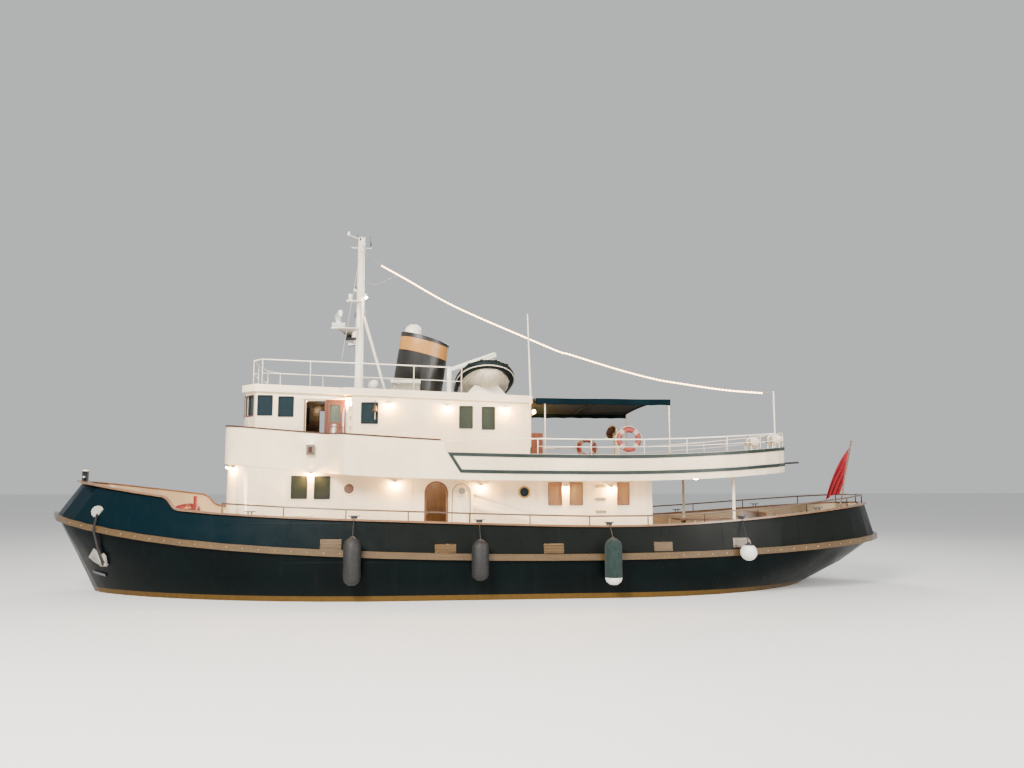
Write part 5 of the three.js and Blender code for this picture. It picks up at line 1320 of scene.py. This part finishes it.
stepLook = {"count": 5, "first": 4.3, "rise": 0.3}
steps, look = Maker(), stepLook
for k in range(look["count"]):
    z = look["first"] + look["rise"] * k
    steps.block((3.5504, 1.92, z), (3.66, 2.09, z + 0.022), white, 0.006)
    for y in (1.93, 2.08):
        steps.tube([(3.555, y, z - 0.1), (3.64, y, z)], 0.008, white, 6)
steps.mirrored().done("wallSteps", "white_paint")

bell = Maker()
bellX = 2.86
bellTop = Vector((bellX, 2.26, 5.52))
bell.lathe([(0, 0), (0.03, -0.004), (0.05, -0.03), (0.06, -0.1), (0.085, -0.16), (0.1, -0.185), (0.092, -0.185),
            (0.05, -0.09), (0.02, -0.02), (0, -0.015)], darkBronze, Matrix.Translation(bellTop), 24)
bell.tube([bellTop + Vector((0, 0, -0.02)), bellTop + Vector((0, 0, -0.2))], 0.008, darkBronze, 8)
scroll = ((2.1005, 5.62), (2.16, 5.66), (2.24, 5.65), (2.28, 5.6), (2.26, 5.55), (2.26, 5.515))
curl = ((2.1005, 5.42), (2.15, 5.47), (2.2, 5.56), (2.17, 5.62), (2.13, 5.58))
for path, radius in ((scroll, 0.013), (curl, 0.01)):
    bell.tube(smoothLine([(bellX, y, z) for y, z in path], 24), radius, black, 8)
bell.tube([bellTop + Vector((0, 0, -0.19)), bellTop + Vector((0, 0, -0.42))], 0.006, whiteRope, 8,
          radii=[0.006, 0.012])
bell.done("shipsBell", "bronze")

clasps = Maker()
for x in (1.75, 2.2):
    clasps.block((x - 0.03, 1.4702, 6.25), (x + 0.03, 1.485, 6.36), steel, 0.004)
    clasps.tube([(x, 1.488, 6.27), (x, 1.492, 6.31)], 0.012, steel, 8)
for x in (1.66, 2.32):
    clasps.tube([(x, 1.4502, 6.12), (x, 1.475, 6.13), (x, 1.475, 6.19), (x, 1.4502, 6.2)], 0.007, steel, 6)
clasps.done("lockerClasps", "white_paint")

mouthLook = {"long": 0.8, "wide": 0.595, "high": 8.094, "slope": 0.275, "rim": 0.017}
mouth, look = Maker(), mouthLook
rimPath = []
for a in circle(48):
    x = (1.4456 + look["long"] * math.cos(a)) / 1.04125  # the raked tube, cut by the sloping mouth
    rimPath.append((x, look["wide"] * math.sin(a), look["high"] + look["slope"] * (x - 2.16)))
mouth.tube(rimPath, look["rim"], black, 8, closed=True)
mouth.done("funnelRim", "black_paint")

rigging = Maker()
for y in (-0.5, 0.5):
    rigging.tube([(3.5, y, 10.95), (3.3, y * 3.6, 6.93)], 0.006, whiteRope, 6)
    rigging.tube([(3.5, y * 0.6, 10.75), (3.9, y * 3.6, 6.95)], 0.006, whiteRope, 6)
rigging.tube([(3.44, 0, 9.8), (3.0, 0.02, 9.65), (2.3, 0.1, 9.98)], 0.006, galvanised, 6)
rigging.tube([(3.62, 0.0, 11.1), (3.62, 0.0, 11.35)], 0.008, black, 8)
rigging.tube([(3.22, 0, 10.88), (3.22, 0, 11.3)], 0.008, black, 8)
for x, y in ((3.5, 0.54), (3.5, -0.54), (3.2, 0)):
    rigging.lathe([(0.02, 0), (0.028, 0.01), (0.028, 0.09), (0.02, 0.1), (0, 0.1), (0, 0)], blackPlastic,
                  Matrix.Translation((x, y, 10.97)), 14)
rigging.block((3.6, -0.06, 8.56), (3.675, 0.06, 8.72), black, 0.01)
rigging.block((3.6, -0.13, 9.42), (3.7, 0.13, 9.45), white, 0.004)
rigging.lathe([(0.05, 0), (0.06, 0.02), (0.06, 0.1), (0.045, 0.13), (0, 0.135), (0, 0)], pane,
              Matrix.Translation((3.65, 0, 9.45)), 18)
rigging.done("mastFittings", "white_paint")

mastLamp = Maker()
mastLamp.block((3.28, 0.12, 9.18), (3.38, 0.26, 9.3), white, 0.02)
mastLamp.lathe([(0, 0.02), (0.05, 0.012), (0.06, 0), (0, 0)], cabinGlow,
               facing((3.31, 0.2, 9.18), (-0.35, 0.3, -1)), 18)
mastLamp.tube([(3.39, 0.04, 9.26), (3.33, 0.16, 9.26)], 0.012, white, 8)
mastLamp.done("mastFloodlight", "white_paint")

helm = Maker()
for y in (-0.62, -0.34, 0.3, 0.62):
    helm.lathe([(0.055, 0), (0.055, 0.02), (0.045, 0.026), (0, 0.02), (0, 0)], brass,
               facing((6.06, y, 4.6201), (-0.3, 0, 1)), 20)
helm.lathe([(0.13, 0), (0.13, 0.03), (0.1, 0.09), (0.06, 0.13), (0, 0.145), (0, 0)], brass,
           Matrix.Translation((6.2, 0.0, 4.6203)), 28)
helm.block((6.05, -0.9, 4.6203), (6.12, 0.9, 4.66), crossWood, 0.008)
helm.block((6.3, 0.3, 4.6203), (6.36, 0.7, 4.9), blackPlastic, 0.012)
for y in (-0.24, -0.16):
    helm.tube([(6.16, y, 4.62), (6.1, y, 4.78)], 0.008, brass, 8)
helm.done("helmInstruments", "bronze")

grating = Maker()
grating.block((4.5, -0.35, 3.59), (5.1, 0.35, 3.69), teakSeat, 0.008)
grating.done("helmGrating", "teak")

tenderKit = Maker()


def onTender(points):
    return [tenderTurn @ Vector(p) for p in points]


tenderLook = {"tube": 0.14, "strake": 0.018, "eye": (0, 1.24, -0.2), "steps": 44, "handles": 4,
              "hub": (0, 0.36, 0.4), "wheel": 0.13}
halfTube = [(.815, -1.55, .06), (.82, -.7, .06), (.81, .3, .08), (.69, 1.0, .16), (.42, 1.48, .25)]
tubeLine = [(-x, y, z) for x, y, z in halfTube] + [(0, 1.66, .29)] + halfTube[::-1]
middleLine = smoothLine(tubeLine, tenderLook["steps"])
outerLine, upperLine = [], []
for i, p in enumerate(middleLine):
    q = middleLine[min(i + 1, tenderLook["steps"])] - middleLine[max(i - 1, 0)]
    out = Vector((-q.y, q.x, 0)).normalized()
    reach = tenderLook["tube"] + 0.006
    outerLine.append(p + out * reach * 0.86 + Vector((0, 0, -0.5 * reach)))
    upperLine.append(p + out * reach * 0.5 + Vector((0, 0, 0.86 * reach)))
tenderKit.tube(onTender(outerLine), tenderLook["strake"], gelcoat, 8)
pitch = tenderLook["handles"]
for i in range(pitch, tenderLook["steps"] - 3, pitch):
    reach = (upperLine[i + 1] - upperLine[i]) * 0.3
    tenderKit.tube(onTender([upperLine[i] + reach, upperLine[i] - reach]), 0.02, blackPlastic, 8)
grab = [p + Vector((0, 0, 0.012 - 0.03 * abs(math.sin(math.pi * i / pitch)))) for i, p in enumerate(upperLine)]
tenderKit.tube(onTender(grab), 0.008, whiteRope, 6)
keel = [(0, -1.45, -.4), (0, -.4, -.42), (0, .5, -.39), (0, 1.05, -.3), (0, 1.56, -.06)]
chine = [(.7, -1.45, -.17), (.72, -.4, -.17), (.67, .5, -.12), (.52, 1.05, -.02), (.25, 1.56, .12)]
tenderKit.tube(onTender(keel), 0.016, gelcoat, 8)
for side in (1, -1):
    tenderKit.tube(onTender([(side * x, y, z) for x, y, z in chine]), 0.016, gelcoat, 8)
    lift = [tuple(k + 0.52 * (c - k) for k, c in zip(low, high)) for low, high in zip(keel, chine)]
    tenderKit.tube(onTender([(side * x, y, z) for x, y, z in lift]), 0.012, gelcoat, 8,
                   radii=[0.012, 0.012, 0.012, 0.01, 0.004])
eye = Vector(tenderLook["eye"])
tenderKit.tube(onTender([eye + Vector((0, 0.03 * math.cos(a) + 0.02, 0.035 * math.sin(a) - 0.02))
                         for a in circle(12)]), 0.011, steel, 6, closed=True)
tenderKit.lathe([(0, 0.012), (0.024, 0.01), (0.03, 0), (0, 0)], blackPlastic,
                facing(tenderTurn @ Vector((0.2, 0.9, -0.27)), (0.3, 0.35, -0.9)), 12)
tenderKit.block((-0.62, -1.5, -0.04), (0.62, -1.42, 0.28), gelcoat, 0.01, tenderTurn)
tenderKit.block((-0.6, -0.75, -0.02), (0.6, -0.45, 0.24), gelcoat, 0.02, tenderTurn)
tenderKit.block((-0.57, -0.73, 0.24), (0.57, -0.47, 0.29), blackPlastic, 0.015, tenderTurn)
tenderKit.sheetOf([(-0.19, 0.5), (0.19, 0.5), (0.15, 0.66), (-0.15, 0.66)], 0, 0.008, palePane,
                  tenderTurn @ Matrix.Translation((0, 0.52, 0)) @ Matrix.Rotation(math.radians(90), 4, "X"))
hub = Vector(tenderLook["hub"])
wheel = [hub + tenderLook["wheel"] * Vector((math.cos(a), 0, math.sin(a))) for a in circle(20)]
tenderKit.tube(onTender(wheel), 0.011, blackPlastic, 8, closed=True)
tenderKit.tube(onTender([hub, hub + Vector((0, 0.042, 0))]), 0.03, blackPlastic, 10)
for a in (0.4, 2.5, 4.6):
    tenderKit.tube(onTender([hub, hub + 0.125 * Vector((math.cos(a), 0, math.sin(a)))]), 0.007, steel, 6)
tenderKit.done("tenderFittings", "tender_shell")

buoyLook = {"rope": 0.38, "slack": 0.012, "ring": 0.29, "lashing": 0.089, "wall": 0.062, "turns": (-0.05, 0, 0.05)}
buoyRopes, look = Maker(), buoyLook
for s in (1, -1):
    centre = buoyCentre * Vector((1, s, 1))
    loop = []
    for a in circle(64):
        reach = look["rope"] - look["slack"] * math.cos(4 * (a - math.pi / 4))
        loop.append(centre + Vector((reach * math.cos(a), 0, reach * math.sin(a))))
    buoyRopes.tube(loop, 0.009, whiteRope, 8, closed=True)
    for k in range(4):
        a = math.pi / 4 + k * math.pi / 2
        radial, along = Vector((math.cos(a), 0, math.sin(a))), Vector((-math.sin(a), 0, math.cos(a)))
        for d in look["turns"]:
            ringPath = []
            for b in circle(16):
                y = look["lashing"] * math.sin(b)
                if y * s > look["wall"]:
                    y = look["wall"] * s
                ringPath.append(centre + radial * (look["ring"] + look["lashing"] * math.cos(b)) + along * d
                                + Vector((0, y, 0)))
            buoyRopes.tube(ringPath, 0.006, whiteRope, 6, closed=True)
buoyRopes.done("buoyRopes", "ensign_cloth")

link = Maker()
link.tube([(0.0, 0.028 * math.cos(a), 0.045 * math.sin(a)) for a in circle(12)], 0.011, galvanised, 6, closed=True)
chainPath = [(8.66, 0.31, 2.565), (8.85, 0.33, 2.5), (9.3, 0.5, 2.12), (9.75, 0.72, 1.96), (10.2, 0.98, 1.99),
             (10.45, 1.15, 2.1)]
chains = [smoothLine([(x, s * y, z) for x, y, z in chainPath], 60) for s in (1, -1)]
repeatAlong("anchorChain", chains, link, 0.068, galvanised, roll=math.pi / 2)

hawse = Maker()
hawse.lathe([(0.17, 0), (0.2, 0.03), (0.17, 0.07), (0.12, 0.07), (0.12, 0)], anchorGrey,
            facing((10.5, 1.19, 2.08), (-0.75, -0.55, 0.25)), 28)
hawse.mirrored().done("hawseMouths", "anchor_paint")
print("superstructure fittings made")


def clothMesh(name, grid, finish):
    # grid rows of points; the UV map holds metres along and across the cloth
    rows, columns = len(grid), len(grid[0])
    mesh = bpy.data.meshes.new(name)
    verts = [tuple(p) for row in grid for p in row]
    faces = [(r * columns + c, r * columns + c + 1, (r + 1) * columns + c + 1, (r + 1) * columns + c)
             for r in range(rows - 1) for c in range(columns - 1)]
    mesh.from_pydata(verts, [], faces)
    across = [0.0]
    middle = grid[rows // 2]
    for a, b in zip(middle, middle[1:]):
        across.append(across[-1] + (Vector(b) - Vector(a)).length)
    along = [0.0]
    for a, b in zip(grid, grid[1:]):
        along.append(along[-1] + (Vector(b[columns // 2]) - Vector(a[columns // 2])).length)
    layer = mesh.uv_layers.new(name="cloth")
    for loop in mesh.loops:
        v = loop.vertex_index
        layer.data[loop.index].uv = (across[v % columns], along[v // columns])
    mesh.materials.append(finish.material)
    mesh.polygons.foreach_set("use_smooth", [True] * len(mesh.polygons))
    piece = linked(name, mesh)
    thick = piece.modifiers.new("thickness", "SOLIDIFY")
    thick.thickness = 0.002
    thick.offset = 0
    return piece, (across[-1], along[-1])


awningLook = {"fore": -1.87, "aft": -5.965, "half": 2.688, "edge": 5.742, "crown": 0.09, "sag": 0.016,
              "valance": 0.185, "hoops": (-2.15, -4.045, -5.94), "rows": 60, "columns": 48, "hang": 5,
              "scallop": 0.585}


def awningHeight(x, y):
    look = awningLook
    base = look["edge"] + look["crown"] * (1 - (y / look["half"]) ** 2)
    a, b, c = look["hoops"]
    near = a if x > b else b
    far = b if x > b else c
    t = max(0.0, min(1.0, (near - x) / (near - far)))
    slack = 0.35 + 0.65 * math.cos(math.pi * y / look["half"] / 2.4) ** 2
    return base - look["sag"] * math.sin(math.pi * t) ** 2 * slack


look = awningLook
# The points across: a valance, the roof, where the drop is None, and the other valance
acrossPoints, hang, columns = [], look["hang"], look["columns"]
for k in range(hang):
    acrossPoints.append((-look["half"] - 0.002 * k, -look["valance"] * (1 - k / hang)))
for k in range(columns + 1):
    acrossPoints.append((-look["half"] + 2 * look["half"] * k / columns, None))
for k in range(1, hang + 1):
    acrossPoints.append((look["half"] + 0.002 * k, -look["valance"] * k / hang))
grid = []
for r in range(look["rows"] + 1):
    x = look["fore"] + (look["aft"] - look["fore"]) * r / look["rows"]
    row = []
    for y, drop in acrossPoints:
        if drop is None:
            row.append((x, y, awningHeight(x, y)))
        else:
            s = 1 if y > 0 else -1
            ripple = 0.01 * math.sin(x * 9.0 + s) * (-drop / look["valance"])
            scallop = 1 - 0.08 * abs(math.sin(math.pi * (x - look["fore"]) / look["scallop"]))
            row.append((x, s * look["half"] + s * 0.004 + ripple, awningHeight(x, look["half"]) + drop * scallop))
    grid.append(row)
awningPiece, awningSize = clothMesh("awningCloth", grid, awningCloth)
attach(awningPiece, "boat")
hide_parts("awning")

ensignLook = {"head": ((-13.012, 4.42), (-12.6, 4.0), (-12.2, 3.2), (-12.04, 2.58)),
              "foot": ((-12.76, 3.3), (-12.72, 3.15), (-12.68, 3.0), (-12.64, 2.86)), "pleats": 3.5, "deep": 0.055,
              "columns": 80, "rows": 84}


def bezier(corners, count):
    a, b, c, d = (Vector((x, 0, z)) for x, z in corners)
    return interpolate_bezier(a, b, c, d, count)


# The limp cloth falls forward from the staff in pleats; its head and foot are two curves that the rows run between
columns, rows = ensignLook["columns"], ensignLook["rows"]
headLine, footLine = (bezier(ensignLook[end], columns + 1) for end in ("head", "foot"))


def ensignPoint(c, v):
    u = c / ensignLook["columns"]
    x, _, z = headLine[c].lerp(footLine[c], v)
    y = ensignLook["deep"] * min(1.0, 2.5 * u) * math.sin(2 * math.pi * ensignLook["pleats"] * v + 1.3 * u)
    return (x, y, z + 0.1 * math.sin(math.pi * v) * u**3 + 0.02 * math.sin(9 * v + 5 * u) * u)


grid = [[ensignPoint(c, r / rows) for c in range(columns + 1)] for r in range(rows + 1)]
ensignPiece, ensignSize = clothMesh("ensignCloth", grid, bunting)
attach(ensignPiece, "boat")
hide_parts("ensign")

curtainLook = {"behind": 2.262, "folds": 9, "depth": 0.02, "perFold": 8, "rows": 8}


def makeCurtain(name, fore, aft, low, high, side):
    look = curtainLook
    grid = []
    columns = look["folds"] * look["perFold"]
    for r in range(look["rows"] + 1):
        v = r / look["rows"]
        row = []
        for c in range(columns + 1):
            u = c / columns
            wave = math.sin(2 * math.pi * look["folds"] * u) + 0.3 * math.sin(5.3 * u + 2.0 * v)
            row.append((fore + (aft - fore) * u, side * (look["behind"] + look["depth"] * wave * (0.75 + 0.25 * v)),
                        high - (high - low) * v))
        grid.append(row)
    piece, size = clothMesh(name, grid, curtainWithPaintedGlow)
    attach(piece, "boat")


for index, (fore, aft, low, high) in enumerate(lowerWindows[2:]):
    for label, s in (("port", 1), ("stbd", -1)):
        makeCurtain(f"curtain_{label}{index + 1}", fore + 0.03, aft - 0.03, low - 0.04, high + 0.02, s)
print("cloth made")


stageLook = {"floor": (0.8, 0.8, 0.79), "sky": (0.97, 0.985, 1.0), "skyStrength": 0.62}
floorMesh = bpy.data.meshes.new("floor")
floorMesh.from_pydata([(-220, -220, 0), (220, -220, 0), (220, 60, 0), (-220, 60, 0)], [], [(0, 1, 2, 3)])
floorFinish = Finish("floorPale", stageLook["floor"], 0.6)
floorFinish.colour(floorFinish.mixed(floorFinish.noise(0.3, 3), stageLook["floor"], (0.76, 0.76, 0.755)))
floorMesh.materials.append(floorFinish.material)
linked("floor", floorMesh)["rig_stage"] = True

world = bpy.data.worlds.new("studio")
world.use_nodes = True
world.node_tree.nodes["Background"].inputs["Color"].default_value = (*stageLook["sky"], 1)
world.node_tree.nodes["Background"].inputs["Strength"].default_value = stageLook["skyStrength"]
scene.world = world


def areaLight(name, spot, target, size, power, colour=(1, 1, 1)):
    data = bpy.data.lights.new(name, "AREA")
    data.shape = "DISK"
    data.size = size
    data.energy = power
    data.color = colour
    light = bpy.data.objects.new(name, data)
    light.location = spot
    light.rotation_euler = (Vector(target) - Vector(spot)).to_track_quat("-Z", "Y").to_euler()
    scene.collection.objects.link(light)


areaLight("key", (13, 27, 20), (0, 0, 3), 12, 26000, (1, 0.95, 0.87))
areaLight("fill", (-20, 22, 12), (0, 0, 3), 14, 8000, (1, 0.96, 0.9))
areaLight("back", (-6, -22, 20), (0, 0, 4), 12, 6000)

# The camera stands off the port side and looks a little up and aft; angles in degrees
cameraLook = {"spot": (1.684, 27.587, 3.25), "yaw": 6.5, "pitch": 6.6, "lens": 29.95, "sensor": 36, "far": 500}
look = cameraLook
cameraData = bpy.data.cameras.new("photoView")
cameraData.lens = look["lens"]
cameraData.sensor_width = look["sensor"]
cameraData.clip_end = look["far"]
camera = bpy.data.objects.new("photoView", cameraData)
yaw, pitch = math.radians(look["yaw"]), math.radians(look["pitch"])
ahead = Vector((-math.sin(yaw) * math.cos(pitch), -math.cos(yaw) * math.cos(pitch), math.sin(pitch)))
right = Vector((-math.cos(yaw), math.sin(yaw), 0))
upward = (-ahead).cross(right)
camera.matrix_world = placed(look["spot"], right, upward, -ahead)
scene.collection.objects.link(camera)
scene.camera = camera

low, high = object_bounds()
print("stage ready")
